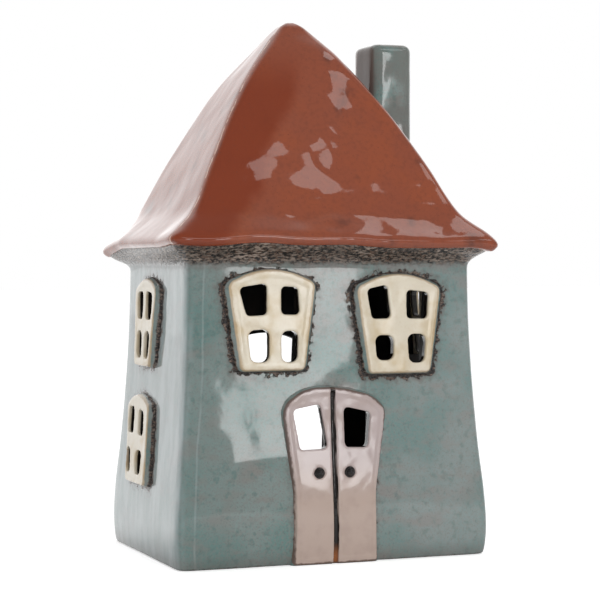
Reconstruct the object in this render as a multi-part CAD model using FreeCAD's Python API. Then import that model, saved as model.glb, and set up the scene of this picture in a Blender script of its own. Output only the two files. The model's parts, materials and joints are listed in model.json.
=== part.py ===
import FreeCAD, Part
import math
import os

# A tealight house of glazed stoneware, built the way a potter builds it: four wall
# slabs mitred at the corners round a floor slab, a bellcast hip roof of four slabs,
# clay strips pressed under the eaves, window and door tiles luted over holes cut in
# the walls, a chimney tube, and a tealight that slides in through the back.
# Millimetres, +Z up, origin on the table under the middle of the house. The front,
# with the door, faces -Y.

# Walls
house_width = 146.4
house_depth = 103.4
wall_height = 138.0
wall_thickness = 5.0
wall_taper = 6.6
wall_corner_radius = 4.0
inner_corner_radius = 2.0
# Each pair is a share of the wall height and a share of the taper lost there.
wall_profile_shares = [
    (0.0, 0.16), (0.045, 0.03), (0.11, 0.0), (0.2, 0.1), (0.33, 0.37),
    (0.51, 0.66), (0.73, 0.89), (1.0, 1.0),
]

# Floor
floor_thickness = 6.0

# Arch in the back wall, where the tealight goes in
arch_width = 78.0
arch_top = 97.0

# Roof
roof_rise = 102.0
roof_thickness = 5.0
eave_overhang = 10.5
roof_lean = 3.2
eave_corner_radius = 5.0
hip_radius = 3.4
# Each pair is a share of the roof's rise and a share of the eave's reach.
roof_profile_shares = [
    (0.0, 0.972), (0.02, 1.0), (0.045, 0.985), (0.08, 0.925), (0.16, 0.82),
    (0.31, 0.7), (0.44, 0.605), (0.64, 0.447), (0.785, 0.308), (0.915, 0.156),
    (0.96, 0.096), (0.987, 0.056), (1.0, 0.02),
]
attic_start_share = 0.16
attic_end_share = 0.8
# A slab on this slope is wider level across than it is thick.
slope_width_share = 1.16
section_radius_share = 0.42

# Clay strips pressed into the corner under the eaves
cove_drop = 8.0
cove_reach = 8.2
cove_profile_shares = [(0.0, 0.06), (0.2, 0.14), (0.42, 0.35), (0.7, 0.68), (1.0, 1.0)]

# Chimney
chimney_width = 20.2
chimney_depth = 25.0
chimney_wall = 4.6
chimney_corner_radius = 3.0
chimney_rim_radius = 2.0
chimney_from_middle = 45.1
chimney_behind_middle = 4.5
chimney_above_eaves = 93.4

# Window tiles
frame_proud = 3.2
frame_flank_across = 3.0
frame_flank_up = 1.2
frame_lap = 2.4
pane_corner_radius = 2.0
low_pane_corner_radius = 3.0
frame_corner_radius = 2.0
frame_shoulder_radius = 3.0
frame_crown_radius = 30.0

# The front windows fill the room between corner and middle, and between door and eaves.
left_window_from_corner = 24.6
left_window_from_middle = 9.8
left_window_above_door = 8.3
left_window_below_cove = 2.4
right_window_from_corner = 23.6
right_window_from_middle = 10.8
right_window_above_door = 6.2
right_window_below_cove = 4.5

# The side windows stand one over the other, the upper one up to the eaves.
lower_frame_width = 32.4
lower_frame_height = 39.1
lower_window_behind_middle = 9.0
lower_window_sill = 32.1
upper_frame_width = 30.4
upper_window_behind_middle = 7.0
upper_window_above_lower = 13.4
upper_window_below_cove = 6.6

# Corners of a window tile: shares of its width from its middle, and of its height.
front_frame_shares = [
    (-0.366, 0.0), (0.366, 0.0), (0.5, 0.86), (0.25, 0.965),
    (0.0, 1.0), (-0.25, 0.965), (-0.5, 0.86),
]
upper_frame_shares = [
    (-0.42, 0.0), (0.31, 0.0), (0.52, 0.88), (0.3, 0.965),
    (0.06, 1.0), (-0.2, 0.965), (-0.47, 0.87),
]
lower_frame_shares = [
    (-0.37, 0.0), (0.5, 0.0), (0.42, 0.88), (0.2, 0.965),
    (-0.04, 1.0), (-0.3, 0.965), (-0.53, 0.87),
]
# Corners of the four panes of each window, in the same shares.
left_pane_shares = [
    [(-0.303, 0.539), (-0.062, 0.547), (-0.06, 0.868), (-0.39, 0.824)],
    [(0.103, 0.552), (0.327, 0.55), (0.307, 0.826), (0.108, 0.837)],
    [(-0.257, 0.077), (-0.042, 0.077), (-0.036, 0.408), (-0.293, 0.394)],
    [(0.1, 0.075), (0.291, 0.075), (0.306, 0.388), (0.104, 0.388)],
]
right_pane_shares = [
    [(-0.334, 0.547), (-0.096, 0.551), (-0.141, 0.896), (-0.39, 0.849)],
    [(0.094, 0.549), (0.351, 0.541), (0.37, 0.814), (0.094, 0.844)],
    [(-0.28, 0.125), (-0.075, 0.123), (-0.066, 0.378), (-0.302, 0.38)],
    [(0.118, 0.093), (0.306, 0.091), (0.338, 0.388), (0.1, 0.39)],
]
upper_pane_shares = [
    [(-0.326, 0.533), (-0.084, 0.533), (-0.074, 0.853), (-0.358, 0.843)],
    [(0.074, 0.533), (0.326, 0.533), (0.379, 0.832), (0.063, 0.863)],
    [(-0.305, 0.081), (-0.084, 0.081), (-0.084, 0.396), (-0.326, 0.396)],
    [(0.053, 0.081), (0.253, 0.081), (0.305, 0.396), (0.063, 0.396)],
]
lower_pane_shares = [
    [(-0.441, 0.55), (-0.178, 0.55), (-0.189, 0.858), (-0.43, 0.848)],
    [(0.042, 0.544), (0.283, 0.544), (0.252, 0.818), (0.021, 0.848)],
    [(-0.367, 0.099), (-0.189, 0.099), (-0.262, 0.382), (-0.451, 0.372)],
    [(0.052, 0.099), (0.304, 0.099), (0.273, 0.372), (-0.021, 0.372)],
]

# The double door, one tile with a scored line and two panes
door_width = 47.8
door_height = 75.7
door_from_middle = 0.7
door_foot = 0.6
door_proud = 2.2
door_flank_across = 1.6
door_flank_up = 1.6
door_foot_radius = 1.6
door_waist_radius = 60.0
door_shoulder_radius = 9.5
door_crown_radius = 40.0
door_spigot_depth = 1.2
door_spigot_wall = 2.0
door_outline_shares = [
    (-0.423, 0.0), (0.389, 0.0), (0.395, 0.42), (0.502, 0.872), (0.354, 0.951),
    (0.0, 1.0), (-0.285, 0.991), (-0.5, 0.9), (-0.414, 0.43),
]
door_pane_shares = [
    [(-0.345, 0.648), (-0.077, 0.653), (-0.143, 0.909), (-0.408, 0.879)],
    [(0.09, 0.658), (0.316, 0.653), (0.352, 0.853), (0.085, 0.893)],
]
groove_width = 2.2
groove_from_middle = 1.5
groove_depth = 1.5
groove_top_share = 0.978

knob_radius = 2.4
knob_seat = 0.5
knob_height_share = 0.515
knob_place_shares = [-0.169, 0.128]

# Tealight
cup_radius = 19.0
cup_height = 16.0
foil_thickness = 0.4
cup_rim_thickness = 0.8
wax_below_rim = 2.4
wick_radius = 0.75
wick_above_wax = 7.0
wick_bend = 1.6
wick_bend_middle_share = 0.27
tab_radius = 6.5
tab_thickness = 0.3
tab_neck_radius = 1.6
tab_neck_height = 2.6

# Gap between clay pieces that slip into one another
slip_line = 0.1
# How far a cutting shape runs past what it cuts
overrun = 10.0
# Order of the curves that run up the walls and the roof
surface_degree = 3

half_width = house_width / 2
half_depth = house_depth / 2
eave_half_width = half_width - wall_taper + eave_overhang
eave_half_depth = half_depth - wall_taper + eave_overhang
house_height = wall_height + roof_rise
door_top = door_foot + door_height
cove_foot = wall_height - cove_drop


def point(x, y, z):
    return FreeCAD.Vector(x, y, z)


# Outlines

def rounded_loop(corners, radii):
    """A closed wire through the corners, each rounded by its own radius."""
    arcs = []
    for i, corner in enumerate(corners):
        back = corners[i - 1] - corner
        ahead = corners[(i + 1) % len(corners)] - corner
        half_angle = back.getAngle(ahead) / 2
        room = min(back.Length, ahead.Length) * section_radius_share
        setback = min(radii[i] / math.tan(half_angle), room)
        radius = setback * math.tan(half_angle)
        back.normalize()
        ahead.normalize()
        inward = (back + ahead).normalize()
        middle = corner + inward * (radius / math.sin(half_angle) - radius)
        arcs.append((corner + back * setback, middle, corner + ahead * setback))
    edges = []
    for i, (start, middle, end) in enumerate(arcs):
        edges.append(Part.Arc(start, middle, end).toShape())
        edges.append(Part.LineSegment(end, arcs[(i + 1) % len(arcs)][0]).toShape())
    return Part.Wire(edges)


def rounded_rectangle(half_x, half_y, radius, z, middle_x=0.0, middle_y=0.0):
    corners = [
        point(middle_x + side_x * half_x, middle_y + side_y * half_y, z)
        for side_x, side_y in ((-1, -1), (1, -1), (1, 1), (-1, 1))
    ]
    return rounded_loop(corners, [radius] * len(corners))


def loft(wires, straight=False):
    """A solid skinned over closed sections, smooth between them unless straight."""
    return Part.makeLoft(wires, True, straight, False, surface_degree)


def plan_prism(corners, low, high):
    """An upright prism on a plan outline of (x, y) pairs."""
    face = Part.Face(Part.makePolygon([point(x, y, low) for x, y in corners + corners[:1]]))
    return face.extrude(point(0, 0, high - low))


# The four sides

def on_side(side, across, up, out):
    """A point on a side of the house: across to the right of someone who faces it."""
    places = {
        "front": point(across, -out, up),
        "back": point(-across, out, up),
        "left": point(-out, -across, up),
        "right": point(out, across, up),
    }
    return places[side]


def wall_lean(z):
    """How far the wall's face has drawn in at a height."""
    shares = wall_profile_shares
    height_share = z / wall_height
    for (low, lean_low), (high, lean_high) in zip(shares, shares[1:]):
        if height_share <= high:
            along = (height_share - low) / (high - low)
            return wall_taper * (lean_low + (lean_high - lean_low) * along)
    return wall_taper * shares[-1][1]


def wall_form(inset, radius):
    """The solid block inside a skin that lies inset from the wall's outer face."""
    wires = []
    for height_share, taper_share in wall_profile_shares:
        half_x = half_width - wall_taper * taper_share - inset
        half_y = half_depth - wall_taper * taper_share - inset
        wires.append(rounded_rectangle(half_x, half_y, radius, wall_height * height_share))
    return loft(wires)


def side_wedges():
    """Plan regions that part the four sides at the 45 degree mitres."""
    ridge = half_width - half_depth
    far_x = half_width + eave_overhang + overrun
    far_y = half_depth + eave_overhang + overrun
    plans = {
        "front": [(-far_x, -far_y), (far_x, -far_y), (ridge, 0), (-ridge, 0)],
        "right": [(far_x, -far_y), (far_x, far_y), (ridge, 0)],
        "back": [(far_x, far_y), (-far_x, far_y), (-ridge, 0), (ridge, 0)],
        "left": [(-far_x, far_y), (-far_x, -far_y), (-ridge, 0)],
    }
    return {
        side: plan_prism(plan, -overrun, wall_height + overrun) for side, plan in plans.items()
    }


# Tiles luted on the walls

def side_face(side, up):
    """How far out the wall's face stands at a height."""
    reach = half_depth if side in ("front", "back") else half_width
    return reach - wall_lean(up)


def tile_wire(side, shares, radii, size, place, proud, inset_across, inset_up):
    """A tile's outline, drawn in by the insets, in the plane that leans with the wall."""
    width, height = size
    middle, sill = place
    foot_out = side_face(side, sill)
    head_out = side_face(side, sill + height)
    across_scale = (width - 2 * inset_across) / width
    upward_scale = (height - 2 * inset_up) / height
    corners = []
    for share_across, share_up in shares:
        up = sill + inset_up + share_up * height * upward_scale
        out = foot_out + (head_out - foot_out) * (up - sill) / height + proud
        corners.append(on_side(side, middle + share_across * width * across_scale, up, out))
    return rounded_loop(corners, radii)


def tile_body(side, shares, radii, size, place, proud, flank_across, flank_up):
    """A tile with sloped flanks that follows the curve of the wall."""
    wires = [
        tile_wire(side, shares, radii, size, place, -proud, -2 * flank_across, -2 * flank_up),
        tile_wire(side, shares, radii, size, place, 2 * proud, flank_across, flank_up),
    ]
    skin = wall_form(-proud, wall_corner_radius)
    return loft(wires, True).common(skin).cut(wall_form(0, wall_corner_radius))


def upright_prism(side, corners, radius, out):
    """A prism with rounded corners, square to a side, from a distance outwards."""
    start = on_side(side, 0, 0, out)
    wire = rounded_loop([corner + start for corner in corners], [radius] * len(corners))
    return Part.Face(wire).extrude(on_side(side, 0, 0, half_width + overrun))


def flat_corners(side, shares, size, place):
    width, height = size
    middle, sill = place
    return [
        on_side(side, middle + share_across * width, sill + share_up * height, 0)
        for share_across, share_up in shares
    ]


def grown_corners(corners, margin):
    """Corners moved away from their middle."""
    centre = sum(corners, point(0, 0, 0)) * (1 / len(corners))
    grown = []
    for corner in corners:
        away = corner - centre
        grown.append(centre + away * ((away.Length + margin) / away.Length))
    return grown


def window(side, outline, panes, size, place):
    """A window tile with four panes, and the hole in the wall that it laps over."""
    radii = [frame_corner_radius] * 2 + [frame_shoulder_radius]
    radii += [frame_crown_radius] * 3 + [frame_shoulder_radius]
    flank = (frame_flank_across, frame_flank_up)
    tile = tile_body(side, outline, radii, size, place, frame_proud, *flank)
    pane_radii = [pane_corner_radius] * 2 + [low_pane_corner_radius] * 2
    for pane, pane_radius in zip(panes, pane_radii):
        corners = flat_corners(side, pane, size, place)
        tile = tile.cut(upright_prism(side, corners, pane_radius, 0))
    hole_place = (side, outline, radii, size, place, -2 * wall_thickness)
    hole_wire = tile_wire(*hole_place, frame_lap, frame_lap)
    hole = Part.Face(hole_wire).extrude(on_side(side, 0, 0, 2 * wall_thickness + overrun))
    return tile, hole


def door_tile():
    """The double door with its scored line, and the holes that its panes need."""
    size = (door_width, door_height)
    place = (-door_from_middle, door_foot)
    radii = [door_foot_radius] * 2 + [door_waist_radius, door_shoulder_radius]
    radii += [door_crown_radius] * 3 + [door_shoulder_radius, door_waist_radius]
    flank = (door_flank_across, door_flank_up)
    tile = tile_body("front", door_outline_shares, radii, size, place, door_proud, *flank)
    spigot_layer = wall_form(0, wall_corner_radius).cut(
        wall_form(door_spigot_depth, inner_corner_radius)
    )
    holes = []
    for pane in door_pane_shares:
        corners = flat_corners("front", pane, size, place)
        spigot_corners = grown_corners(corners, door_spigot_wall)
        hole_corners = grown_corners(corners, door_spigot_wall + slip_line)
        spigot = upright_prism("front", spigot_corners, pane_corner_radius, 0)
        tile = tile.fuse(spigot.common(spigot_layer))
        tile = tile.cut(upright_prism("front", corners, pane_corner_radius, 0))
        holes.append(upright_prism("front", hole_corners, pane_corner_radius, 0))
    return tile.cut(groove()).removeSplitter(), holes


def groove():
    """The scored line down the middle of the door."""
    top = door_foot + door_height * groove_top_share
    left = -groove_from_middle - groove_width / 2
    bar = Part.makeBox(
        groove_width, half_depth + overrun, top + overrun,
        point(left, -half_depth - overrun, -overrun),
    )
    return bar.cut(wall_form(groove_depth - door_proud, wall_corner_radius))


def knob_ball(place_share):
    """A small ball of clay pressed into the face of the door."""
    up = door_foot + door_height * knob_height_share
    out = side_face("front", up) + door_proud - knob_seat
    across = -door_from_middle + place_share * door_width
    ball = Part.makeSphere(knob_radius, on_side("front", across, up, out))
    return ball.cut(wall_form(0, wall_corner_radius))


# Build and write

def save(name, shape):
    shape.exportStep(os.path.join("parts", name + ".step"))
    print(name, "solids", len(shape.Solids), "volume %.0f" % shape.Volume, "valid", shape.isValid())


def roof_sections(shares, shrink):
    wires = []
    for rise_share, reach_share in shares:
        half_x = eave_half_width * reach_share - shrink
        half_y = eave_half_depth * reach_share - shrink
        radius = hip_radius
        if rise_share < attic_start_share:
            radius = eave_corner_radius
        wires.append(
            rounded_rectangle(
                half_x, half_y, min(radius, half_y * section_radius_share),
                wall_height + roof_rise * rise_share, -roof_lean * rise_share,
            )
        )
    return wires


def roof_outer():
    return loft(roof_sections(roof_profile_shares, 0))


def attic():
    """The hollow under the roof slabs."""
    shrink = roof_thickness * slope_width_share
    upper = [
        pair for pair in roof_profile_shares if attic_start_share <= pair[0] <= attic_end_share
    ]
    draw_in = wall_taper + wall_thickness
    foot = rounded_rectangle(
        half_width - draw_in, half_depth - draw_in, inner_corner_radius, wall_height
    )
    return loft([foot] + roof_sections(upper, shrink))


def roof_wedges():
    corners = {
        "front": ((-1, -1), (1, -1)),
        "right": ((1, -1), (1, 1)),
        "back": ((1, 1), (-1, 1)),
        "left": ((-1, 1), (-1, -1)),
    }
    stretch = 1 + overrun / eave_half_depth
    wedges = {}
    for side, ends in corners.items():
        plan = [(-roof_lean, 0.0)]
        for side_x, side_y in ends:
            plan.append((
                -roof_lean + (side_x * eave_half_width + roof_lean) * stretch,
                side_y * eave_half_depth * stretch,
            ))
        wedges[side] = plan_prism(plan, wall_height - overrun, house_height + overrun)
    return wedges


def build_chimney(roof_block):
    low = wall_height
    top = wall_height + chimney_above_eaves
    shaft = Part.Face(
        rounded_rectangle(
            chimney_width / 2, chimney_depth / 2, chimney_corner_radius, low,
            chimney_from_middle, chimney_behind_middle,
        )
    ).extrude(point(0, 0, top - low))
    rim = [edge for edge in shaft.Edges if edge.BoundBox.ZMin > top - chimney_rim_radius]
    shaft = shaft.makeFillet(chimney_rim_radius, rim)
    flue = Part.Face(
        rounded_rectangle(
            chimney_width / 2 - chimney_wall, chimney_depth / 2 - chimney_wall,
            chimney_corner_radius, low - overrun, chimney_from_middle, chimney_behind_middle,
        )
    ).extrude(point(0, 0, top - low + 2 * overrun))
    return shaft.cut(flue).cut(roof_block), flue


def build_roof():
    block = roof_outer()
    shell = block.cut(attic())
    chimney, flue = build_chimney(block)
    save("chimney", chimney)
    for side, wedge in roof_wedges().items():
        slab = shell.common(wedge)
        if side == "right":
            slab = slab.cut(flue)
        save("roof_" + side, slab)


def build_coves():
    wires = []
    for height_share, reach_share in cove_profile_shares:
        z = cove_foot + cove_drop * height_share
        grow = cove_reach * reach_share - wall_lean(z)
        wires.append(
            rounded_rectangle(half_width + grow, half_depth + grow, wall_corner_radius, z)
        )
    ring = loft(wires).cut(wall_form(0, wall_corner_radius))
    for side, wedge in side_wedges().items():
        save("cove_" + side, ring.common(wedge))


def front_window_room(sign, from_corner, from_middle, above_door, below_cove):
    """The size of a front window, and its middle across and its sill."""
    width = half_width - from_corner - from_middle
    sill = door_top + above_door
    height = cove_foot - below_cove - sill
    return (width, height), (sign * (from_middle + width / 2), sill)


def build_windows():
    """Every window tile, and the holes that the walls need for them."""
    left_size, left_place = front_window_room(
        -1, left_window_from_corner, left_window_from_middle,
        left_window_above_door, left_window_below_cove,
    )
    right_size, right_place = front_window_room(
        1, right_window_from_corner, right_window_from_middle,
        right_window_above_door, right_window_below_cove,
    )
    windows = [
        ("front", "left", front_frame_shares, left_pane_shares, left_size, left_place),
        ("front", "right", front_frame_shares, right_pane_shares, right_size, right_place),
    ]
    upper_window_sill = lower_window_sill + lower_frame_height + upper_window_above_lower
    upper_frame_height = cove_foot - upper_window_below_cove - upper_window_sill
    upper_size = (upper_frame_width, upper_frame_height)
    lower_size = (lower_frame_width, lower_frame_height)
    for side, sign in (("left", -1), ("right", 1)):
        upper_place = (sign * upper_window_behind_middle, upper_window_sill)
        lower_place = (sign * lower_window_behind_middle, lower_window_sill)
        windows += [
            (side, "upper", upper_frame_shares, upper_pane_shares, upper_size, upper_place),
            (side, "lower", lower_frame_shares, lower_pane_shares, lower_size, lower_place),
        ]
    holes = []
    for side, which, outline, panes, size, place in windows:
        tile, hole = window(side, outline, panes, size, place)
        save("window_" + side + "_" + which, tile)
        holes.append((side, hole))
    return holes


def build_door():
    tile, holes = door_tile()
    for side, place_share in zip(("left", "right"), knob_place_shares):
        ball = knob_ball(place_share)
        save("door_knob_" + side, ball)
        tile = tile.cut(ball)
    save("double_door", tile)
    return [("front", hole) for hole in holes]


def build_walls():
    shell = wall_form(0, wall_corner_radius).cut(wall_form(wall_thickness, inner_corner_radius))
    slabs = {side: shell.common(wedge) for side, wedge in side_wedges().items()}
    for side, hole in build_windows() + build_door() + [("back", arch_cutter())]:
        slabs[side] = slabs[side].cut(hole)
    for side, slab in slabs.items():
        save("wall_" + side, slab)


def build_floor():
    block = wall_form(wall_thickness + slip_line, inner_corner_radius)
    layer = Part.makeBox(
        house_width, house_depth, floor_thickness, point(-half_width, -half_depth, 0)
    )
    save("floor", block.common(layer))


def arch_cutter():
    """The round-headed doorway in the back wall, down to the top of the floor."""
    radius = arch_width / 2
    spring = arch_top - radius
    start = half_depth - wall_taper - wall_thickness - overrun
    left_foot = point(-radius, start, floor_thickness)
    right_foot = point(radius, start, floor_thickness)
    right_spring = point(radius, start, spring)
    left_spring = point(-radius, start, spring)
    edges = [
        Part.LineSegment(left_foot, right_foot).toShape(),
        Part.LineSegment(right_foot, right_spring).toShape(),
        Part.Arc(right_spring, point(0, start, arch_top), left_spring).toShape(),
        Part.LineSegment(left_spring, left_foot).toShape(),
    ]
    return Part.Face(Part.Wire(edges)).extrude(point(0, wall_thickness + wall_taper + 2 * overrun, 0))


def upright_cylinder(radius, low, high):
    return Part.makeCylinder(radius, high - low, point(0, 0, low))


def wick_rod(low, top):
    """The waxed wick, straight in the wax and bent over at its tip."""
    knee = point(0, 0, top - wick_above_wax / 2)
    tip = point(wick_bend, 0, top)
    bend_middle = point(wick_bend * wick_bend_middle_share, 0, top - wick_above_wax / 4)
    foot = point(0, 0, low)
    path = Part.Wire([
        Part.LineSegment(foot, knee).toShape(),
        Part.Arc(knee, bend_middle, tip).toShape(),
    ])
    ring = Part.Wire(Part.Circle(foot, point(0, 0, 1), wick_radius).toShape())
    return path.makePipeShell([ring], True, False)


def build_tealight():
    cup_top = floor_thickness + cup_height
    wax_floor = floor_thickness + foil_thickness
    wax_top = cup_top - wax_below_rim
    inner_radius = cup_radius - foil_thickness
    cup = upright_cylinder(cup_radius, floor_thickness, cup_top)
    cup = cup.cut(upright_cylinder(inner_radius, wax_floor, cup_top))
    rim_radius = cup_rim_thickness / 2
    rim = Part.makeTorus(cup_radius, rim_radius, point(0, 0, cup_top - rim_radius))
    save("tealight_cup", cup.fuse(rim))

    wick = wick_rod(wax_floor, wax_top + wick_above_wax)
    plate = upright_cylinder(tab_radius, wax_floor, wax_floor + tab_thickness)
    neck = upright_cylinder(tab_neck_radius, wax_floor, wax_floor + tab_neck_height)
    tab = plate.fuse(neck).cut(wick)
    wax = upright_cylinder(inner_radius, wax_floor, wax_top).cut(tab).cut(wick)
    save("wick", wick)
    save("wick_tab", tab)
    save("tealight_wax", wax)


def main():
    os.makedirs("parts", exist_ok=True)
    build_roof()
    build_coves()
    build_walls()
    build_floor()
    build_tealight()


main()
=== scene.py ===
# %% [markdown]
# A glazed stoneware tealight house.
# The real one is rolled out of clay slabs, joined while soft, coated in coloured glazes and
# fired till the glaze melts to a glossy skin. This lesson dresses the measured solids of the
# house: walls, roof and chimney are modelled again as soft, slightly wavy clay, and every
# surface gets a glaze built from shader nodes.

# %% Load the measured solids
import bpy
import json
import math
import numpy as np
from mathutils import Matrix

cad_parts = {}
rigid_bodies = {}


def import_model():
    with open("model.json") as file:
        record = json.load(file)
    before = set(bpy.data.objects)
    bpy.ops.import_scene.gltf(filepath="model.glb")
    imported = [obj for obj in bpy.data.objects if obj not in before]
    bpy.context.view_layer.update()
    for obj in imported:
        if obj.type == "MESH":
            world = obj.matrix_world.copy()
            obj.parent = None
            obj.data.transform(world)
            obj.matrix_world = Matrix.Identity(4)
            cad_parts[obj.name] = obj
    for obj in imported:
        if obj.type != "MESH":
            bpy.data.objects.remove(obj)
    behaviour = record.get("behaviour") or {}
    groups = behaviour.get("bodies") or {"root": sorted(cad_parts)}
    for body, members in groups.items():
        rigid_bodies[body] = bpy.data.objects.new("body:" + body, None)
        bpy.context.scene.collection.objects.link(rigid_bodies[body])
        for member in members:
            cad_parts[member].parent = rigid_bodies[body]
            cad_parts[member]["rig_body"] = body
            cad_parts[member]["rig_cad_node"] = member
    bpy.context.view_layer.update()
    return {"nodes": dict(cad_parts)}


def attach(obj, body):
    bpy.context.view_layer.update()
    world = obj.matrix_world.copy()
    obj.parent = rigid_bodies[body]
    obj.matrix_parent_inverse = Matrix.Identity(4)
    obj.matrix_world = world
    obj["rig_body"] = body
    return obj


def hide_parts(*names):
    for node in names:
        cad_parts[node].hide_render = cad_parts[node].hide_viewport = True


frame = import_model()
MM = 0.001

# %% [markdown]
# The camera stands a little to the left of the house and looks along it with a long lens,
# so that the verticals stay straight. Its place was worked out from the corners of the
# house. An orthographic camera would be simpler, but it would lose the slight narrowing of
# the left wall.

# %% Camera
LOOK_AROUND = math.radians(21.0)
LOOK_DOWN = math.radians(1.2267)
CAMERA_PLACE = (-0.320157, -0.839382, 0.132682)
SENSOR_WIDTH = 36
LENS = 117.725
bpy.ops.object.select_all(action="DESELECT")
bpy.ops.object.camera_add(
    location=CAMERA_PLACE, rotation=(math.pi / 2 - LOOK_DOWN, 0, -LOOK_AROUND)
)
camera = bpy.context.active_object
camera.name = "camera"
camera.data.sensor_width = SENSOR_WIDTH
camera.data.lens = LENS
bpy.context.scene.camera = camera
bpy.context.scene.view_settings.view_transform = "Standard"
print("Camera lens, in mm:", round(camera.data.lens, 1))

# %% [markdown]
# Small helpers come first. Edit-mode operators act on whatever is selected, so each helper
# starts by clearing the selection and then picks edges, faces or points by their place.

# %% Helpers for selecting
import bmesh


def only(obj):
    """Selects one object and makes it the active one."""
    bpy.ops.object.select_all(action="DESELECT")
    obj.select_set(True)
    bpy.context.view_layer.objects.active = obj


def edit(obj):
    only(obj)
    bpy.ops.object.mode_set(mode="EDIT")
    bpy.ops.mesh.select_mode(type="VERT")
    bpy.ops.mesh.select_all(action="DESELECT")


def leave_edit():
    bpy.ops.object.mode_set(mode="OBJECT")


def pick(obj, kind, test):
    """In edit mode, selects the points, edges or faces that pass a test."""
    bpy.ops.mesh.select_all(action="DESELECT")
    bpy.ops.mesh.select_mode(type=kind)
    shape = bmesh.from_edit_mesh(obj.data)
    for part in {"VERT": shape.verts, "EDGE": shape.edges, "FACE": shape.faces}[kind]:
        if test(part):
            part.select_set(True)
    shape.select_flush_mode()
    bmesh.update_edit_mesh(obj.data)


def along_axis(edge, axis):
    """True for an edge that runs along X (0) or Y (1) and nothing else."""
    run = edge.verts[1].co - edge.verts[0].co
    others = [abs(run[i]) for i in range(3) if i != axis]
    return abs(run[axis]) > 1e-6 and max(others) < 1e-6


def apply_modifier(obj, kind, **settings):
    """Adds a modifier, sets it and applies it at once."""
    only(obj)
    modifier = obj.modifiers.new(kind.lower(), kind)
    for key, value in settings.items():
        setattr(modifier, key, value)
    bpy.ops.object.modifier_apply(modifier=modifier.name)


print("Selecting helpers are ready")

# %% [markdown]
# The walls and the roof lean in by a curve, not a straight line. The curve is given as a
# few measured points, and a smooth line is read between them. It could be drawn as a Bezier
# curve object, but a short function is easier to read heights from later on.

# %% A smooth line through measured points
def read_curve(points, place):
    """The value at a place on the smooth line through (place, value) points."""
    places = np.array([point[0] for point in points], float)
    values = np.array([point[1] for point in points], float)
    slopes = np.gradient(values, places)
    place = np.clip(place, places[0], places[-1])
    left = np.clip(np.searchsorted(places, place) - 1, 0, len(places) - 2)
    step = places[left + 1] - places[left]
    t = (place - places[left]) / step
    return (
        values[left] * (2 * t**3 - 3 * t**2 + 1)
        + slopes[left] * step * (t**3 - 2 * t**2 + t)
        + values[left + 1] * (3 * t**2 - 2 * t**3)
        + slopes[left + 1] * step * (t**3 - t**2)
    )


HALF_WIDTH = 73.2 * MM
HALF_DEPTH = 51.7 * MM
WALL_HEIGHT = 138 * MM
WALL_TAPER = 6.6 * MM
WALL_LEAN = [
    (0.0, 0.16), (0.045, 0.03), (0.11, 0.0), (0.2, 0.1), (0.33, 0.37),
    (0.51, 0.66), (0.73, 0.89), (1.0, 1.0),
]


def wall_lean(z):
    """How far the wall's face has drawn in at a height."""
    return WALL_TAPER * read_curve(WALL_LEAN, z / WALL_HEIGHT)


print("The walls draw in, in mm:", round(wall_lean(WALL_HEIGHT) / MM, 2))

# %% [markdown]
# Both the walls and the roof are stacks of rectangles. A plane is added, its face is
# deleted so that only the four edges are left, and the ring is extruded upwards and resized
# again and again. Four points a ring keep it quick, and the corners are rounded afterwards
# with one bevel, the way a potter smooths a seam with a finger.

# %% Rings that are stacked by extruding
LONG_EDGE = 8 * MM
CUTS_ACROSS = (23, 16)


def start_ring(name, half_x, half_y, z):
    """A rectangle of four edges, left in edit mode with the edges selected."""
    bpy.ops.object.select_all(action="DESELECT")
    bpy.ops.mesh.primitive_plane_add(size=2, location=(0, 0, z))
    obj = bpy.context.active_object
    obj.name = obj.data.name = name
    obj.scale = (half_x, half_y, 1)
    bpy.ops.object.transform_apply()
    bpy.ops.object.mode_set(mode="EDIT")
    bpy.ops.mesh.select_mode(type="EDGE")
    bpy.ops.mesh.select_all(action="SELECT")
    bpy.ops.mesh.delete(type="ONLY_FACE")
    bpy.ops.mesh.select_all(action="SELECT")
    return obj, [half_x, half_y, z, 0.0]


def next_ring(ring, half_x, half_y, z, middle=0.0):
    """Extrudes the selected ring to a new height and resizes it."""
    old_x, old_y, old_z, old_middle = ring
    bpy.ops.mesh.extrude_region_move(
        TRANSFORM_OT_translate={"value": (middle - old_middle, 0, z - old_z)}
    )
    bpy.ops.transform.resize(
        value=(half_x / old_x, half_y / old_y, 1), center_override=(middle, 0, z)
    )
    ring[:] = [half_x, half_y, z, middle]


def round_corners(obj, width):
    """Bevels every edge that runs from ring to ring."""
    pick(obj, "EDGE", lambda e: not (along_axis(e, 0) or along_axis(e, 1)))
    bpy.ops.mesh.bevel(offset=width, segments=3, affect="EDGES")


def cut_across(obj):
    """Divides the long sides of every ring into short steps, along X and then Y."""
    for axis, cuts in enumerate(CUTS_ACROSS):
        pick(obj, "EDGE", lambda e: along_axis(e, axis) and e.calc_length() > LONG_EDGE)
        bpy.ops.mesh.subdivide(number_cuts=cuts)


print("Ring helpers are ready")

# %% [markdown]
# The four walls and the hollow curve under the eaves are one skin of glaze on the real
# house, so they are one piece here. The outside ring climbs the lean of the wall and
# flares out under the eaves, then the ring steps inside and comes back down, which gives
# the slab its 5 mm thickness.

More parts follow.
